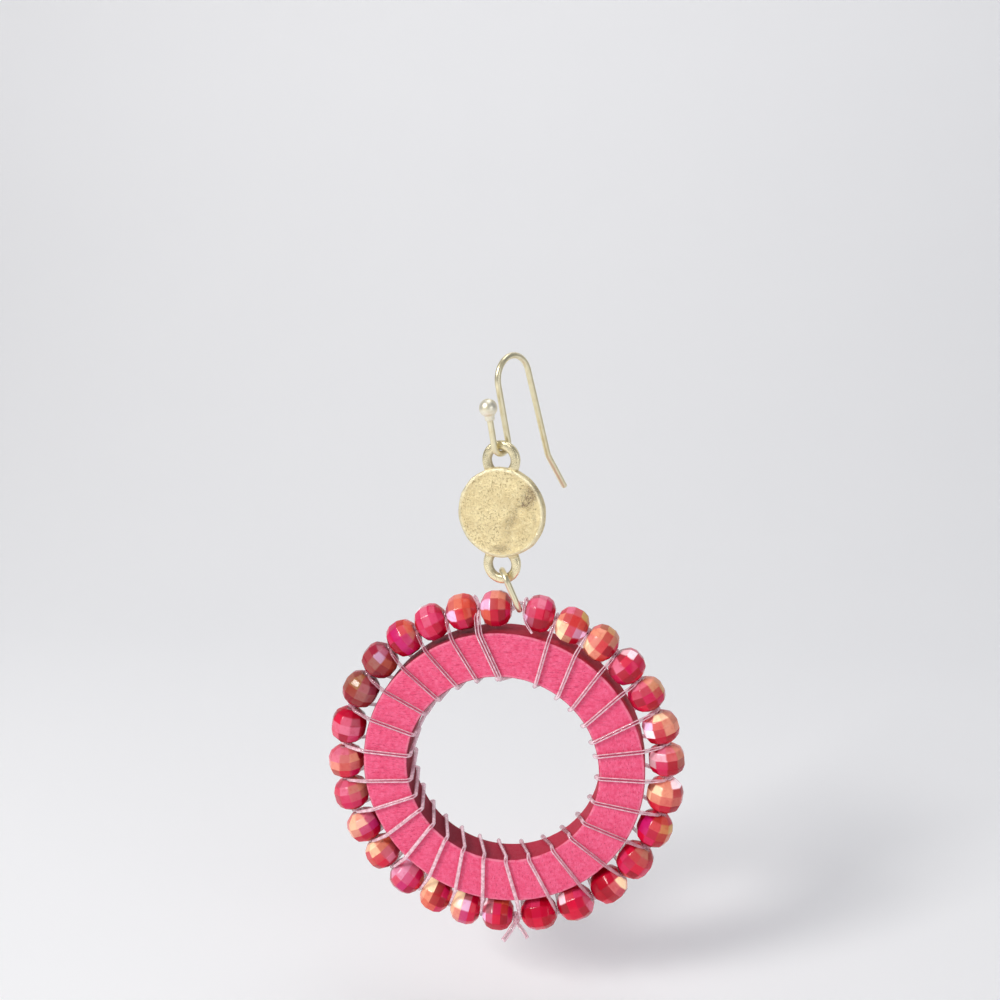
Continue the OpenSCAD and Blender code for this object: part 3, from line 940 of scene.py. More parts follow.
@dataclass
class LinkDisc:
    """Cast hammered disc with a loop above and below it."""

    centre: Point = (-1.4913, -2.1298, -20.77)
    across: float = 12.6
    thick: float = 1.4
    edge: float = 0.42
    turn: float = 13.0
    loop_hole_r: float = 1.4
    loop_band: float = 1.3
    loop_t: float = 1.0
    loop_out: float = 0.92
    rings: int = 58
    sectors: int = 220
    uneven: float = 0.20
    sunk: float = 0.05

    def build(self) -> list[bpy.types.Object]:
        """Makes the disc and its loops, dresses them and hides the plain solid.

        Returns:
            The pieces.
        """
        finish = CastGold().build()
        points, faces = self._plate()
        for side in (1, -1):
            more, round_faces = self._loop(side)
            faces += [[len(points) + k for k in f] for f in round_faces]
            points = np.vstack([points, more])
        piece = mesh_piece("cast_disc", self._set(points), faces, finish)
        store(piece.data, "place", "FLOAT_VECTOR", points)
        face_out(piece)
        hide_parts("disc_link")
        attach(piece, Body.DISC.value)
        return [piece]

    def _set(self, own: np.ndarray) -> np.ndarray:
        """Places rows of (across, up, towards the viewer) in the part's frame."""
        a = math.radians(-self.turn)
        x, y, z = own[:, 0], -own[:, 2], own[:, 1]
        turned = np.column_stack([x * math.cos(a) - y * math.sin(a), x * math.sin(a) + y * math.cos(a), z])
        return turned + np.array(self.centre)

    def _depth(self, u: float, w: float, side: Side) -> float:
        """How far the face lies below its highest level, for hammer marks and hollows."""
        low = 0.0
        for x, z, r, deep in FRONT_MARKS if side is Side.FRONT else BACK_MARKS:
            far = ((u - x) ** 2 + (w - z) ** 2) / r ** 2
            low = max(low, deep * (1 - far)) if far < 1 else low
        spot = Vector((u, w, 7.0 * side.value))
        return self.sunk + low + sum(noise.noise(spot * often) * deep for often, deep in WAVES)

    def _plate(self) -> tuple[np.ndarray, list[list[int]]]:
        """Points and faces of the plate, with its two faces and its rim."""
        half = self.thick / 2
        ways = [(math.cos(t), math.sin(t)) for t in np.arange(self.sectors) * 2 * math.pi / self.sectors]
        wear = [abs(noise.noise(Vector((1.7 * c, 1.7 * s, 3.1)))) for c, s in ways]
        rim = [self.across / 2 - self.uneven * share for share in wear]
        faces_of: dict[Side, list[list[Point]]] = {}
        for side in Side:
            faces_of[side] = []
            for share in np.linspace(0.0, 1.0, self.rings)[1:]:
                ring, fade = [], min(1.0, (1.0 - share) * 9 + 0.25)
                for (c, s), r in zip(ways, rim):
                    u, w = share * (r - self.edge) * c, share * (r - self.edge) * s
                    ring.append((u, w, side.value * (half - self._depth(u, w, side) * fade)))
                faces_of[side].append(ring)
        rows = [*faces_of[Side.FRONT], *self._rim(ways, rim), *reversed(faces_of[Side.BACK])]
        points = [p for row in rows for p in row]
        faces = grid_faces(len(rows), self.sectors, False, True)
        top, low, last = len(points), len(points) + 1, len(points) - self.sectors
        points += [(0.0, 0.0, side.value * (half - self._depth(0, 0, side))) for side in Side]
        for j in range(self.sectors):
            k = (j + 1) % self.sectors
            faces += [[top, k, j], [low, last + j, last + k]]
        return np.array(points), faces

    def _rim(self, ways: Sequence[tuple[float, float]], rim: Sequence[float]) -> list[list[Point]]:
        """Rows of points round the plate's rounded rim, from the front to the back."""
        rows = []
        for level in np.linspace(0.1, 0.9, 9):
            a = math.pi * (0.5 - level)
            out, depth = self.edge * (swell(math.cos(a), 0.55) - 1), swell(math.sin(a), 0.75) * self.thick / 2
            rows.append([((r + out) * c, (r + out) * s, depth) for (c, s), r in zip(ways, rim)])
        return rows

    def _loop(self, side: int) -> tuple[np.ndarray, list[list[int]]]:
        """Points and faces of one cast loop, a ring with a slightly flattened section."""
        around, section = 84, 24
        middle = side * (self.across / 2 + self.loop_out)
        rows = []
        for t in np.arange(around) * 2 * math.pi / around:
            root = max(0.0, -side * math.sin(t) - 0.1) ** 2
            wide = self.loop_band / 2 * (1 + 0.35 * root)
            for s in np.arange(section) * 2 * math.pi / section:
                c, d = math.cos(s), math.sin(s)
                rough = 1 + 0.035 * noise.noise(Vector((3 * math.cos(t), 3 * math.sin(t), 5 * side + c)))
                r = self.loop_hole_r + wide + swell(c, 0.7) * wide * rough
                deep = swell(d, 0.7) * self.loop_t / 2 * rough
                rows.append((r * math.cos(t), middle + r * math.sin(t), deep))
        return np.array(rows), grid_faces(around, section, True, True)


# Hammer marks and hollows: middle across and up, radius, depth
FRONT_MARKS = [
    (0.5, 0.4, 1.6, 0.10), (2.8, 1.1, 1.5, 0.12), (-2.4, 1.8, 1.7, 0.09), (-0.5, -3.0, 1.6, 0.10),
    (4.6, 0.2, 1.2, 0.10), (1.5, 4.4, 1.5, 0.10), (-3.8, 2.8, 1.4, 0.08), (-3.8, -2.8, 1.5, 0.10),
    (1.6, -1.4, 1.3, 0.20), (1.2, 0.2, 1.0, 0.14), (2.0, -2.7, 1.1, 0.14), (3.9, 2.9, 1.5, 0.16),
    (1.5, -4.4, 1.4, 0.09),
]
BACK_MARKS = [
    (-0.75, -0.3, 1.5, 0.10), (2.4, 2.9, 1.5, 0.12), (-2.9, 2.4, 1.5, 0.12), (-2.4, -2.9, 1.5, 0.12),
    (2.9, -2.4, 1.5, 0.12),
]

# Waves of the faces: how often, how deep
WAVES = [(0.35, 0.05), (1.3, 0.025), (3.1, 0.010)]


@dataclass
class JumpRing:
    """Oval ring that joins the disc to the bead string."""

    tubes: TubeTree
    top: Point = (-1.4913, -2.1298, -28.865)
    wire_d: float = 0.85
    end_r: float = 1.8
    length: float = 6.0
    lean: float = 22.992
    swivel: float = 12.0

    def build(self) -> list[bpy.types.Object]:
        """Makes the ring, dresses it and hides the plain solid.

        Returns:
            The piece.
        """
        ends = ((-self.end_r, 0), (self.end_r - self.length, 180))
        bend = np.linspace(0, 180, 28)
        flat = [on_circle((0.0, middle), self.end_r, first + a) for middle, first in ends for a in bend]
        lean, swivel = math.radians(-self.lean), math.radians(self.swivel)
        turn = Matrix.Rotation(lean, 3, "Y") @ Matrix.Rotation(swivel, 3, "Z")
        rows = [[*(turn @ Vector((0.0, y, z)) + Vector(self.top)), 1.0] for y, z in flat]
        finish = PlatedGold(roughness=0.26).build()
        ring = self.tubes.tube("oval_ring", [(np.array(rows), True)], self.wire_d / 2, finish, 24)
        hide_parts("jump_ring")
        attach(ring, Body.JUMP.value)
        return [ring]


@dataclass
class WoodenRing:
    """Flat wooden ring with softly rounded, slightly uneven edges."""

    layout: HoopLayout
    sectors: int = 288
    middle_r: float = 17.0
    wear: float = 0.03

    def build(self) -> list[bpy.types.Object]:
        """Makes the ring, dresses it and hides the plain solid.

        Returns:
            The piece.
        """
        plan, section = self.layout, self._section()
        rows = []
        for k in range(self.sectors):
            a = 360 * k / self.sectors
            for r, y in section:
                spot = Vector(plan.spot(a, r, plan.wood_setback + y))
                wear = self.wear * abs(noise.noise(spot * 0.9) + noise.noise(spot * 0.25))
                outwards = 1 if r > self.middle_r else -1
                rows.append(plan.spot(a, r - wear * outwards, plan.wood_setback + y))
        faces = grid_faces(self.sectors, len(section), True, True)
        finish = DyedWood(plan.wood_centre, plan.wood_outer_r, plan.wood_inner_r).build()
        ring = face_out(mesh_piece("dyed_ring", np.array(rows), faces, finish))
        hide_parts("wood_ring")
        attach(ring, Body.HOOP.value)
        return [ring]

    def _section(self) -> list[np.ndarray]:
        """The ring's section as (distance from the middle, depth), with rounded edges."""
        plan = self.layout
        edge, half = plan.wood_edge_r, plan.wood_t / 2 - plan.wood_edge_r
        outer, inner = plan.wood_outer_r - edge, plan.wood_inner_r + edge
        corners = [((outer, -half), -90), ((outer, half), 0), ((inner, half), 90), ((inner, -half), 180)]
        section = []
        for i, (corner, first) in enumerate(corners):
            section += [on_circle(corner, edge, a) for a in np.linspace(first, first + 90, 6)]
            following, second = corners[(i + 1) % 4]
            end, start = section[-1], on_circle(following, edge, second)
            section += [end + (start - end) * t for t in (0.2, 0.4, 0.6, 0.8)]
        return section


@dataclass
class BeadCircle:
    """Faceted glass beads round the rim."""

    layout: HoopLayout
    tree: BeadTree
    across: float = 5.2
    longest: float = 5.0
    strand_room: float = 0.58
    press: float = 0.2
    facets: int = 10
    hole_d: float = 1.1
    bevel: float = 0.17
    glow: float = 0.30
    dark: tuple[int, ...] = (24, 25)
    held: tuple[int, ...] = (1, 2)
    largest: float = 1.02
    shrink: float = 0.05
    vary: float = 0.03
    pull: float = 1.6
    pale_reach: float = 0.7
    hidden_share: float = 0.25
    facet_area: float = 0.35
    wall_r: float = 0.7

    def build(self) -> list[bpy.types.Object]:
        """Makes the red and the dark beads, dresses them and hides the plain solids.

        Returns:
            The two pieces.
        """
        die, pieces = self._die(), []
        kinds = (("red_beads", 1.0, "bead_glass", False), ("dark_beads", 0.55, "bead_glass_dark", True))
        for name, shade, slot, dark in kinds:
            numbers = [n for n in range(1, len(BEAD_ROWS) + 1) if (n in self.dark) is dark]
            finish = CoatedGlass(name, shade).build()
            piece = self.tree.grow(name, self._seats(name, numbers), {"Bead": die, "Finish": finish})
            self._tone(piece, numbers)
            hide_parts(*[f"bead_{n:02d}" for n in numbers])
            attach(piece, Body.HOOP.value)
            pieces.append(piece)
        bpy.data.objects.remove(die)
        return pieces

    def _length(self, i: int) -> float:
        """Length of a bead along the string."""
        room = self.strand_room - (0.0 if i + 1 in self.held else self.press)
        pitches = [2 * self.layout.string_r * math.sin(math.radians(BEAD_ROWS[k][0]) / 2) for k in (i, i - 1)]
        return min(self.longest, *[p - room for p in pitches])

    def _tone(self, piece: bpy.types.Object, numbers: Sequence[int]) -> None:
        """Gives each facet its colour: reds, with the bright facets that the marks name, coating tints with
        painted reflections.

        Args:
            piece: The grown beads.
            numbers: Numbers of its beads.
        """
        mesh, plan, dice = piece.data, self.layout, np.random.default_rng(11)
        count = len(mesh.polygons)
        middles = read(mesh.polygons, "center", 3) / MM
        codes = read(mesh.attributes["facet"].data, "value")
        edges = read(mesh.attributes["edge"].data, "value")
        seats = np.array([plan.spot(plan.bead_angle(n - 1), plan.string_r, 0.0) for n in numbers])
        owner = np.linalg.norm(middles[:, None] - seats[None], axis=2).argmin(axis=1)
        seen = self._seen(middles - seats[owner], seats[owner])
        colours = np.zeros((count, 3))
        for k, number in enumerate(numbers):
            flat = np.flatnonzero((owner == k) & (edges < 0.5))
            groups = [flat[codes[flat] == c] for c in np.unique(codes[flat])]
            places = np.array([seen[g].mean(axis=0) for g in groups])
            tones = np.array([self._facet_tone(number, place, dice) for place in places])
            for group, tone in zip(groups, tones):
                colours[group] = tone
            rest = np.flatnonzero((owner == k) & (edges >= 0.5))
            colours[rest] = tones[np.linalg.norm(seen[rest][:, None] - places[None], axis=2).argmin(axis=1)]
        faces = np.repeat(np.arange(count), read(mesh.polygons, "loop_total", kind=np.int32))
        weights = read(mesh.polygons, "area")[faces][:, None]
        shares = np.column_stack([colours, np.ones(count)])[faces] * weights
        blended = np.zeros((len(mesh.vertices), 4))
        np.add.at(blended, read(mesh.loops, "vertex_index", kind=np.int32), shares)
        store(mesh, "tone", "FLOAT_COLOR", blended / blended[:, 3:])

    def _seen(self, offsets: np.ndarray, seats: np.ndarray) -> np.ndarray:
        """Turns offsets from the beads' middles into (right, up, near) as the viewer sees them, in radii."""
        near = self.layout.viewer - seats
        near /= np.linalg.norm(near, axis=1, keepdims=True)
        right = np.column_stack([-near[:, 1], near[:, 0], np.zeros(len(near))])
        right /= np.linalg.norm(right, axis=1, keepdims=True)
        ways = (right, np.cross(near, right), near)
        return np.column_stack([(offsets * way).sum(axis=1) for way in ways]) / (self.across / 2)

    def _facet_tone(self, number: int, place: np.ndarray, dice: np.random.Generator) -> np.ndarray:
        """Colour of one facet.

        Args:
            number: The bead's number.
            place: The facet's place as (right, up, near), in radii.
            dice: Source of the chance values.

        Returns:
            The colour.
        """
        red = np.array(REDS[dice.integers(len(REDS))])
        chance = list(Tone)[dice.integers(len(Tone))]
        if place[2] < 0.05:
            return np.array(chance.value) if dice.random() < self.hidden_share else red
        total, mixed = 0.0, np.zeros(3)
        for across, up, tone in FACET_MARKS.get(number, []):
            reach = self.glow * (self.pale_reach if tone in (Tone.WHITE, Tone.LILAC) else 1.0)
            far = ((place[0] - across) ** 2 + (place[1] - up) ** 2) / reach ** 2
            pull = min(1.0, self.pull * math.exp(-far))
            total += pull
            mixed += pull * np.array(tone.value)
        return (red * max(0.0, 1.0 - total) + mixed) / max(1.0, total)

    def _seats(self, name: str, numbers: Sequence[int]) -> bpy.types.Mesh:
        """Points where beads sit, with the turn and stretch of each."""
        seats, dice = bpy.data.meshes.new(name + "_seats"), np.random.default_rng(5)
        spots, turns, sizes = [], [], []
        for n in numbers:
            angle, own_turn = self.layout.bead_angle(n - 1), BEAD_ROWS[n - 1][1]
            spots.append(self.layout.spot(angle, self.layout.string_r, 0.0) * MM)
            lie = Matrix.Rotation(math.radians(90 + angle), 3, "Y")
            turn = lie @ Matrix.Rotation(math.radians(own_turn), 3, "Z")
            turns += list(turn.to_euler("XYZ"))
            low = 0.5 - 0.5 * math.cos(math.radians(angle + 20))
            wide = self.largest - self.shrink * low - self.vary * dice.random()
            sizes += [wide, wide, self._length(n - 1) / self.longest]
        seats.from_pydata([tuple(s) for s in spots], [], [])
        store(seats, "turn", "FLOAT_VECTOR", turns)
        store(seats, "stretch", "FLOAT_VECTOR", sizes)
        return seats

    def _die(self) -> bpy.types.Object:
        """One bead at the origin, along Z, with soft facet edges and a drilled hole."""
        r, half, hole = self.across / 2, self.longest / 2, self.hole_d / 2
        outline = [(0.46, 1.00), (0.85, 0.71), (1.00, 0.31), (1.00, -0.31), (0.85, -0.71), (0.46, -1.00)]
        profile = [(share * r, height * half) for share, height in outline]
        points, faces = revolve([*profile, (hole, -half), (hole, half)], self.facets, closed=True)
        piece = face_out(mesh_piece("bead_die", points, faces, bpy.data.materials.new("die"), smooth=False))
        work = bmesh.new()
        work.from_mesh(piece.data)
        edges = [e for e in work.edges if min(v.co.xy.length for v in e.verts) > self.wall_r * MM]
        bmesh.ops.bevel(work, geom=edges, offset=self.bevel * MM, segments=3, profile=0.5, affect="EDGES")
        facet = work.faces.layers.float.new("facet")
        edge = work.faces.layers.float.new("edge")
        for f in work.faces:
            c = f.calc_center_median() / MM
            band = round(f.normal.z * 4)
            step = round(math.degrees(math.atan2(c.y, c.x)) / (360 / self.facets) - 0.5)
            f[facet] = band * 20.0 + step
            f[edge] = 0.0 if f.calc_area() > self.facet_area * MM * MM else 1.0
            f.smooth = True
        work.to_mesh(piece.data)
        work.free()
        return piece


# Reds of the plain facets
REDS = [
    (0.40, 0.001, 0.017), (0.62, 0.002, 0.036), (0.80, 0.005, 0.048), (0.74, 0.010, 0.095),
    (0.50, 0.001, 0.018),
]

# Bright facets on the front, by bead, coating tints with painted reflections of the light: place across and
# up, in radii, and colour
FACET_MARKS: dict[int, list[tuple[float, float, Tone]]] = {
    1: [(-0.70, 0.12, Tone.LILAC), (0.15, 0.50, Tone.PEACH), (-0.45, 0.65, Tone.PINK),
        (-0.75, -0.45, Tone.ORANGE)],
    2: [(-0.70, -0.15, Tone.LILAC), (-0.10, 0.42, Tone.PINK), (-0.60, 0.50, Tone.ROSE),
        (0.55, 0.60, Tone.ROSE)],
    3: [(-0.72, 0.15, Tone.CREAM), (-0.55, -0.45, Tone.CREAM), (0.05, 0.25, Tone.CORAL),
        (0.75, 0.40, Tone.OLIVE), (0.53, -0.53, Tone.LILAC), (0.10, 0.70, Tone.PINK)],
    4: [(-0.70, -0.10, Tone.CREAM), (-0.35, -0.40, Tone.PEACH), (-0.15, 0.50, Tone.PEACH),
        (0.50, 0.60, Tone.OLIVE), (0.70, 0.20, Tone.TAN), (-0.10, -0.75, Tone.CORAL)],
    5: [(0.10, 0.62, Tone.WHITE), (-0.60, 0.05, Tone.PINK), (0.80, 0.30, Tone.ROSE)],
    6: [(-0.45, 0.25, Tone.PINK), (0.65, 0.35, Tone.OLIVE), (0.15, 0.65, Tone.PEACH),
        (0.45, 0.60, Tone.TAN)],
    7: [(-0.45, -0.30, Tone.WHITE), (-0.70, 0.05, Tone.LILAC), (-0.15, 0.50, Tone.CREAM),
        (0.35, 0.10, Tone.PEACH), (0.50, 0.55, Tone.TAN)],
    8: [(-0.50, 0.05, Tone.WHITE), (-0.05, 0.45, Tone.PINK), (0.50, 0.45, Tone.PEACH),
        (0.75, 0.10, Tone.TAN)],
    9: [(-0.50, 0.10, Tone.CREAM), (0.00, 0.50, Tone.PEACH), (0.60, 0.55, Tone.WHITE),
        (0.20, 0.05, Tone.PEACH), (-0.30, -0.40, Tone.CORAL)],
    10: [(-0.35, 0.15, Tone.MAGENTA), (0.35, 0.10, Tone.ORANGE), (0.78, -0.10, Tone.OLIVE)],
    11: [(-0.50, 0.00, Tone.ROSE), (0.40, 0.25, Tone.TAN)],
    12: [(0.70, 0.10, Tone.CREAM)],
    13: [(-0.60, 0.12, Tone.WHITE), (0.30, 0.50, Tone.ROSE), (0.88, 0.00, Tone.PINK)],
    14: [(-0.35, 0.40, Tone.ROSE)],
    15: [(-0.62, 0.50, Tone.WHITE), (-0.80, -0.10, Tone.LILAC), (0.30, 0.55, Tone.ORANGE)],
    16: [(-0.35, 0.65, Tone.CREAM), (-0.62, 0.15, Tone.CREAM), (-0.70, -0.35, Tone.PEACH),
        (-0.15, 0.10, Tone.LILAC), (-0.20, -0.50, Tone.MAGENTA)],
    17: [(-0.20, 0.70, Tone.CREAM), (-0.55, 0.45, Tone.CREAM), (-0.65, 0.00, Tone.PEACH),
        (-0.45, -0.45, Tone.ORANGE)],
    18: [(0.10, 0.75, Tone.LILAC), (-0.30, 0.55, Tone.PINK), (-0.60, 0.10, Tone.LILAC),
        (0.00, 0.15, Tone.PINK), (-0.10, -0.40, Tone.MAGENTA)],
    19: [(-0.55, 0.20, Tone.CREAM), (-0.20, 0.60, Tone.PEACH), (0.25, 0.50, Tone.ORANGE),
        (0.45, -0.20, Tone.PINK), (-0.40, -0.40, Tone.CORAL)],
    20: [(-0.45, 0.10, Tone.CREAM), (-0.45, 0.55, Tone.PEACH), (-0.70, -0.30, Tone.PEACH),
        (0.05, 0.50, Tone.PINK), (0.10, -0.10, Tone.MAGENTA)],
    21: [(0.25, 0.15, Tone.TAN), (0.45, 0.45, Tone.PEACH), (-0.45, 0.20, Tone.PINK),
        (-0.10, 0.60, Tone.ROSE), (0.10, -0.35, Tone.ROSE)],
    22: [(0.25, 0.15, Tone.PEACH), (-0.10, 0.55, Tone.PINK), (-0.55, 0.25, Tone.PINK),
        (-0.45, -0.30, Tone.PEACH)],
    23: [(0.00, -0.10, Tone.PINK), (-0.70, -0.20, Tone.PINK), (0.10, -0.65, Tone.ROSE)],
    24: [(-0.10, 0.30, Tone.OLIVE), (-0.45, 0.55, Tone.TAN), (0.30, 0.00, Tone.PINK),
        (0.05, -0.50, Tone.TAN)],
    25: [(-0.05, 0.30, Tone.LILAC), (0.30, 0.55, Tone.PINK), (-0.40, -0.20, Tone.TAN),
        (0.55, -0.20, Tone.ORANGE)],
    26: [(0.10, 0.55, Tone.ORANGE), (-0.30, 0.10, Tone.MAGENTA), (0.40, 0.25, Tone.TAN),
        (0.10, -0.20, Tone.MAGENTA)],
    27: [(-0.35, 0.25, Tone.PINK), (0.15, 0.25, Tone.ROSE), (-0.30, -0.55, Tone.ROSE)],
    28: [(-0.40, 0.50, Tone.PEACH), (-0.70, -0.15, Tone.LILAC), (0.15, 0.20, Tone.ORANGE),
        (0.30, 0.65, Tone.CORAL)],
}


@dataclass
class StringAndWrap:
    """Clear filament: the string through the beads with its knot and tails, and the turns round the wood."""

    layout: HoopLayout
    tubes: TubeTree
    pressed: float = 0.78
    low_in: float = 0.35
    low_y: float = 1.45
    hole_share: float = 0.7
    slack_width: float = 0.6
    knot_shift: float = 0.4

    def build(self) -> list[bpy.types.Object]:
        """Makes the filament, dresses it and hides the plain solids.

        Returns:
            The pieces.
        """
        finish, r = ClearCord(self.layout.wood_centre).build(), self.layout.filament_r
        winding = [(self._turns(), True), (self._second_strand(), False)]
        wrap = self.tubes.tube("wound_filament", winding, r, finish, 12)
        strands = [(self._circle(), True), *self._knot(), *self._loose_ends()]
        string = self.tubes.tube("string_filament", strands, r, finish, 12)
        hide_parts("wrap_thread")
        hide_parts("bead_string")
        for piece in (wrap, string):
            self._mark_sides(piece)
            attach(piece, Body.HOOP.value)
        return [wrap, string]

    def _row(self, angle: float, r: float, y: float, width: float = 1.0) -> np.ndarray:
        """A place on the hoop with the filament's width share there."""
        return np.array([*self.layout.spot(angle, r, y), width])

    def _over(self, a: float, lean: float, a_next: float) -> list[np.ndarray]:
        """One turn: over the string, down the front, through the hole and up the back.

        Args:
            a: Angle at which the turn crosses the string.
            lean: How much further round it goes through the hole.
            a_next: Angle at which the next turn crosses the string.

        Returns:
            The places, each with its width share.
        """
        plan, room = self.layout, self.layout.filament_r + self.layout.seat_gap
        front, back = [plan.wood_setback + side * (plan.wood_t / 2 + room) for side in (-1, 1)]
        bend, edge = plan.wood_edge_r + room, plan.wood_inner_r + plan.wood_edge_r
        string, over = (plan.string_r, 0.0), plan.filament_r + room
        low = plan.string_r - self.low_in
        inner = a + lean
        inner_back = inner + (a_next - inner) * self.hole_share
        on_front, on_back = (edge, front + bend), (edge, back - bend)
        rows = [self._row(a, *on_circle(string, over, t), self.pressed) for t in range(90, -91, -20)]
        rows += [self._row(a, low, -self.low_y, self.pressed), self._row(a, plan.wood_outer_r, front)]
        rows += [self._row(inner, *on_circle(on_front, bend, -90 - t)) for t in range(0, 91, 18)]
        rows += [self._row(inner_back, *on_circle(on_back, bend, 90 + t)) for t in range(90, -1, -18)]
        rows += [self._row(a_next, plan.wood_outer_r, back), self._row(a_next, low, self.low_y, self.pressed)]
        return rows

    def _turns(self) -> np.ndarray:
        """The whole winding as one loop."""
        plan = self.layout
        rows = [i for i in range(len(BEAD_ROWS)) if i != plan.jump_row]
        line: list[np.ndarray] = []
        for k, row in enumerate(rows):
            following = rows[(k + 1) % len(rows)]
            a_next = plan.strand_angle(following) + (360 if following < row else 0)
            line += self._over(plan.strand_angle(row), BEAD_ROWS[row][2], a_next)
        return np.array(soften(line, 0.45, 3, closed=True))

    def _second_strand(self) -> np.ndarray:
        """The doubled strand beside the last turn, from its string to the hole."""
        last = len(BEAD_ROWS) - 1
        a, lean = self.layout.strand_angle(last), BEAD_ROWS[last][2]
        rows = self._over(a - 1.2, lean - 0.4, a + 6)[3:18]
        return np.array(soften(rows, 0.45, 3))

    def _mark_sides(self, piece: bpy.types.Object) -> None:
        """Stores how far each point of a filament's surface turns away from the viewer, which places the
        painted highlights along its sides.
        """
        points = piece.data.vertices
        near = self.layout.viewer - read(points, "co", 3) / MM
        near /= np.linalg.norm(near, axis=1, keepdims=True)
        facing = (read(points, "normal", 3) * near).sum(axis=1)
        store(piece.data, "side", "FLOAT", np.sqrt(np.clip(1.0 - facing ** 2, 0.0, 1.0)))

    def _circle(self) -> np.ndarray:
        """The string's circle, with its rise over the jump ring's wire."""
        low, top = self.layout.string_r, self.layout.string_r + self.layout.rise
        marks = [(-2.0, low), (-1.24, top), (1.24, top), (2.0, low)]
        marks += [(a, low) for a in np.arange(3.0, 358.0, 1.5)]
        rows = [self._row(self.layout.hold_angle + a, r, 0.0) for a, r in marks]
        return np.array(soften(rows, 0.25, 3, closed=True))

    def _knot(self) -> list[Line]:
        """The knot between two beads at the bottom, with its two cut tails."""
        plan = self.layout
        a = plan.gap_angle(plan.knot_row) + math.degrees(self.knot_shift / plan.string_r)
        middle, start = plan.spot(a, plan.string_r + 0.45, -0.45), plan.spot(a, plan.string_r + 0.8, -0.8)
        coils = [(self._coil(middle + np.array(place), *shape), True) for place, *shape in KNOT_COILS]
        return coils + [(self._tail(start, *shape), False) for shape in KNOT_TAILS]

    def _coil(self, middle: np.ndarray, wide: float, tall: float, turn: float, width: float) -> np.ndarray:
        """A small tight loop of the knot."""
        rows = []
        for t in np.linspace(0, 2 * math.pi, 16, endpoint=False):
            flat = Vector((wide * math.cos(t), 0.12 * math.sin(2 * t), tall * math.sin(t)))
            spot = Matrix.Rotation(turn, 3, "Y") @ flat
            rows.append([*(middle + np.array(spot)), width])
        return np.array(rows)

    def _tail(self, start: np.ndarray, length: float, turn: float, front: float, width: float) -> np.ndarray:
        """One cut end of the string, nearly straight."""
        spin = Euler((0, math.radians(turn), 0)).to_matrix()
        lean = Euler((math.radians(front), 0, 0)).to_matrix()
        way = spin @ lean @ Vector((0, 0, 1))
        side = way.cross(Vector((0, 1, 0))).normalized()
        rows = []
        for t in np.linspace(0, 1, 10):
            spot = Vector(start) + way * length * t + side * 0.12 * math.sin(2.6 * t)
            rows.append([*spot, width * (0.8 + 0.2 * min(1.0, t * 4))])
        return np.array(rows)

    def _loose_ends(self) -> list[Line]:
        """The stub of filament over the string, and the slack loop in the first gap."""
        plan, last = self.layout, self.layout.gap_angle(len(BEAD_ROWS) - 1)
        stub = [self._row(last + past, plan.string_r + out, y, width) for past, out, y, width in STUB_MARKS]
        slack = [self._row(a, r, y, self.slack_width) for a, r, y in SLACK_MARKS]
        return [(np.array(soften(stub, 0.5)), False), (np.array(soften(slack, 0.6, 6)), False)]


# Coils of the knot: place from its middle, half width, half height, turn, width share
KNOT_COILS = [
    ((0.0, 0.0, 0.0), 0.36, 0.22, 0.0, 0.9),
    ((0.10, -0.25, -0.30), 0.30, 0.25, 1.1, 0.85),
    ((-0.15, 0.15, 0.25), 0.34, 0.20, 2.2, 0.85),
]

# Tails of the knot: length, turn, lean to the front, width share
KNOT_TAILS = [(3.2, 219, 30, 1.25), (2.8, 142, 12, 0.95)]

# Stub of filament: angle past the last gap, distance outside the string's circle, depth, width share
STUB_MARKS = [(0.2, 0.4, -0.4, 0.9), (0.0, 1.2, -0.7, 0.9), (-0.5, 1.9, -0.8, 1.1), (-0.9, 2.2, -0.8, 0.8)]

# Slack loop: angle, distance from the hoop's middle, depth
SLACK_MARKS = [
    (8.4, 24.3, 0.2), (8.1, 25.0, -0.5), (7.7, 24.8, -1.1),
    (7.6, 23.4, -1.6), (9.0, 21.9, -2.1), (12.3, 20.7, -2.4),
]


# Stage


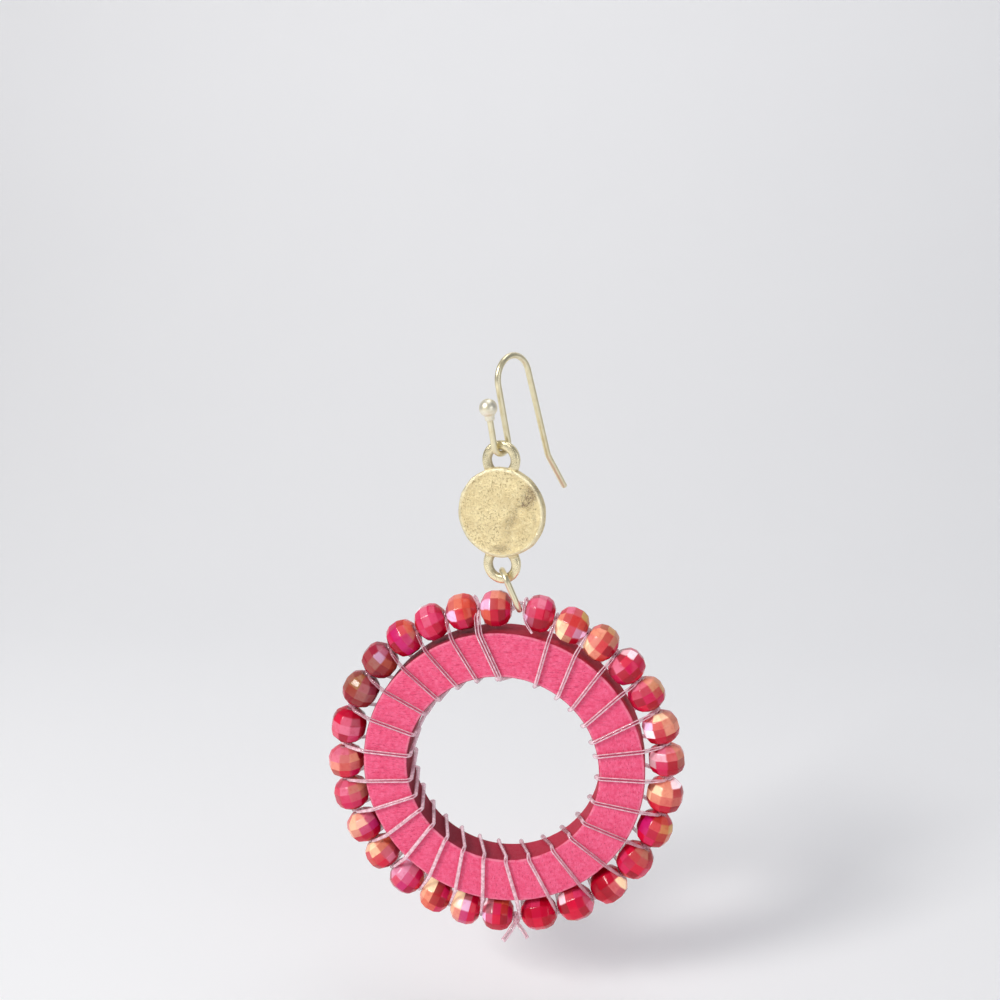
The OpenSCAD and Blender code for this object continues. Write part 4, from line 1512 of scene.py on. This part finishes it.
@dataclass
class Studio:
    """Plain pale floor that sweeps up behind, soft light, and the camera at the photo's angle."""

    layout: HoopLayout
    azimuth: float = 7.81
    elevation: float = 9.87
    roll: float = -0.49
    lens: float = 38.52
    floor_z: float = -96.0
    front_edge: float = -900.0
    half_width: float = 1500.0
    sweep_from: float = 180.0
    sweep_r: float = 220.0
    wall_top: float = 1600.0

    def build(self) -> list[bpy.types.Object]:
        """Makes the camera, the floor and the lights.

        Returns:
            The floor.
        """
        self._camera()
        self._lights()
        return [self._floor()]

    def _camera(self) -> None:
        """Sets the camera where the photo was taken from."""
        data = bpy.data.cameras.new("photo_camera")
        data.lens, data.sensor_width = self.lens, 36.0
        data.clip_start, data.clip_end = 0.005, 50.0
        camera = bpy.data.objects.new("photo_camera", data)
        az, el, roll = (math.radians(v) for v in (self.azimuth, self.elevation, self.roll))
        back = Vector((math.sin(az) * math.cos(el), -math.cos(az) * math.cos(el), math.sin(el)))
        right = Vector((math.cos(az), math.sin(az), 0.0))
        up = back.cross(right)
        side = right * math.cos(roll) + up * math.sin(roll)
        top = up * math.cos(roll) - right * math.sin(roll)
        place = Vector(self.layout.viewer) * MM
        camera.matrix_world = Matrix.Translation(place) @ Matrix((side, top, back)).transposed().to_4x4()
        bpy.context.scene.collection.objects.link(camera)
        bpy.context.scene.camera = camera

    def _floor(self) -> bpy.types.Object:
        """Makes the pale floor and its sweep."""
        paint = Paint("pale_floor")
        tone = paint.clouds(paint.place(), 0.02, 2.0)
        matte = paint.finish(
            Base_Color=paint.mix(tone * 0.3, (0.84, 0.84, 0.85), (0.79, 0.79, 0.81)),
            Roughness=0.8,
            Emission_Color=(0.95, 0.96, 1.0),
            Emission_Strength=0.12,
        )
        r, start = self.sweep_r, self.sweep_from
        profile = [(self.front_edge, 0.0), (start, 0.0)]
        profile += [(start + r * math.sin(t), r - r * math.cos(t)) for t in np.linspace(0.1, math.pi / 2, 14)]
        profile.append((start + r, self.wall_top))
        sides = (-self.half_width, self.half_width)
        rows = [(x, y, self.floor_z + z) for x in sides for y, z in profile]
        floor = mesh_piece("studio_floor", np.array(rows), grid_faces(2, len(profile), False, False), matte)
        return floor

    def _lights(self) -> None:
        """Lights the scene with a large soft key, a fill, a top light and pale surroundings."""
        world = bpy.data.worlds.new("soft_room")
        world.use_nodes = True
        world.node_tree.nodes["Background"].inputs[0].default_value = (0.9, 0.93, 1.0, 1.0)
        world.node_tree.nodes["Background"].inputs[1].default_value = 0.20
        bpy.context.scene.world = world
        bpy.context.scene.view_settings.view_transform = "Standard"
        aim = Vector((0.0, 0.0, -0.045))
        for name, place, size, power, tint in LAMPS:
            data = bpy.data.lights.new(name, "AREA")
            data.shape, data.size, data.size_y = "RECTANGLE", size[0], size[1]
            data.energy, data.color = power, tint
            lamp = bpy.data.objects.new(name, data)
            lamp.location = place
            lamp.rotation_euler = (aim - Vector(place)).to_track_quat("-Z", "Y").to_euler()
            bpy.context.scene.collection.objects.link(lamp)


# Lamps: name, place and size in metres, power, colour
LAMPS = [
    ("key", (-0.34, -0.38, 0.32), (0.18, 0.18), 2.5, (1.0, 0.98, 0.95)),
    ("fill", (0.46, -0.42, 0.05), (0.30, 0.45), 0.65, (0.95, 0.97, 1.0)),
    ("top", (0.05, 0.05, 0.55), (0.40, 0.30), 0.8, (1.0, 1.0, 1.0)),
]


def build_all() -> None:
    """Builds every sub-assembly in order and reports each piece."""
    layout = HoopLayout()
    tubes, seats = TubeTree(), BeadTree()
    makers: list[tuple[str, Callable[[], list[bpy.types.Object]]]] = [
        ("studio", Studio(layout).build),
        ("ear hook", EarHook(tubes).build),
        ("disc", LinkDisc().build),
        ("jump ring", JumpRing(tubes).build),
        ("wooden ring", WoodenRing(layout).build),
        ("beads", BeadCircle(layout, seats).build),
        ("filament", StringAndWrap(layout, tubes).build),
    ]
    for title, make in makers:
        for piece in make():
            log.info("%s: %s, %d faces", title, piece.name, len(piece.data.polygons))


def main() -> None:
    """Builds the scene."""
    logging.basicConfig(level=logging.INFO, format="%(name)s: %(message)s")
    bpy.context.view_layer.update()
    build_all()


if __name__ == "__main__":
    main()
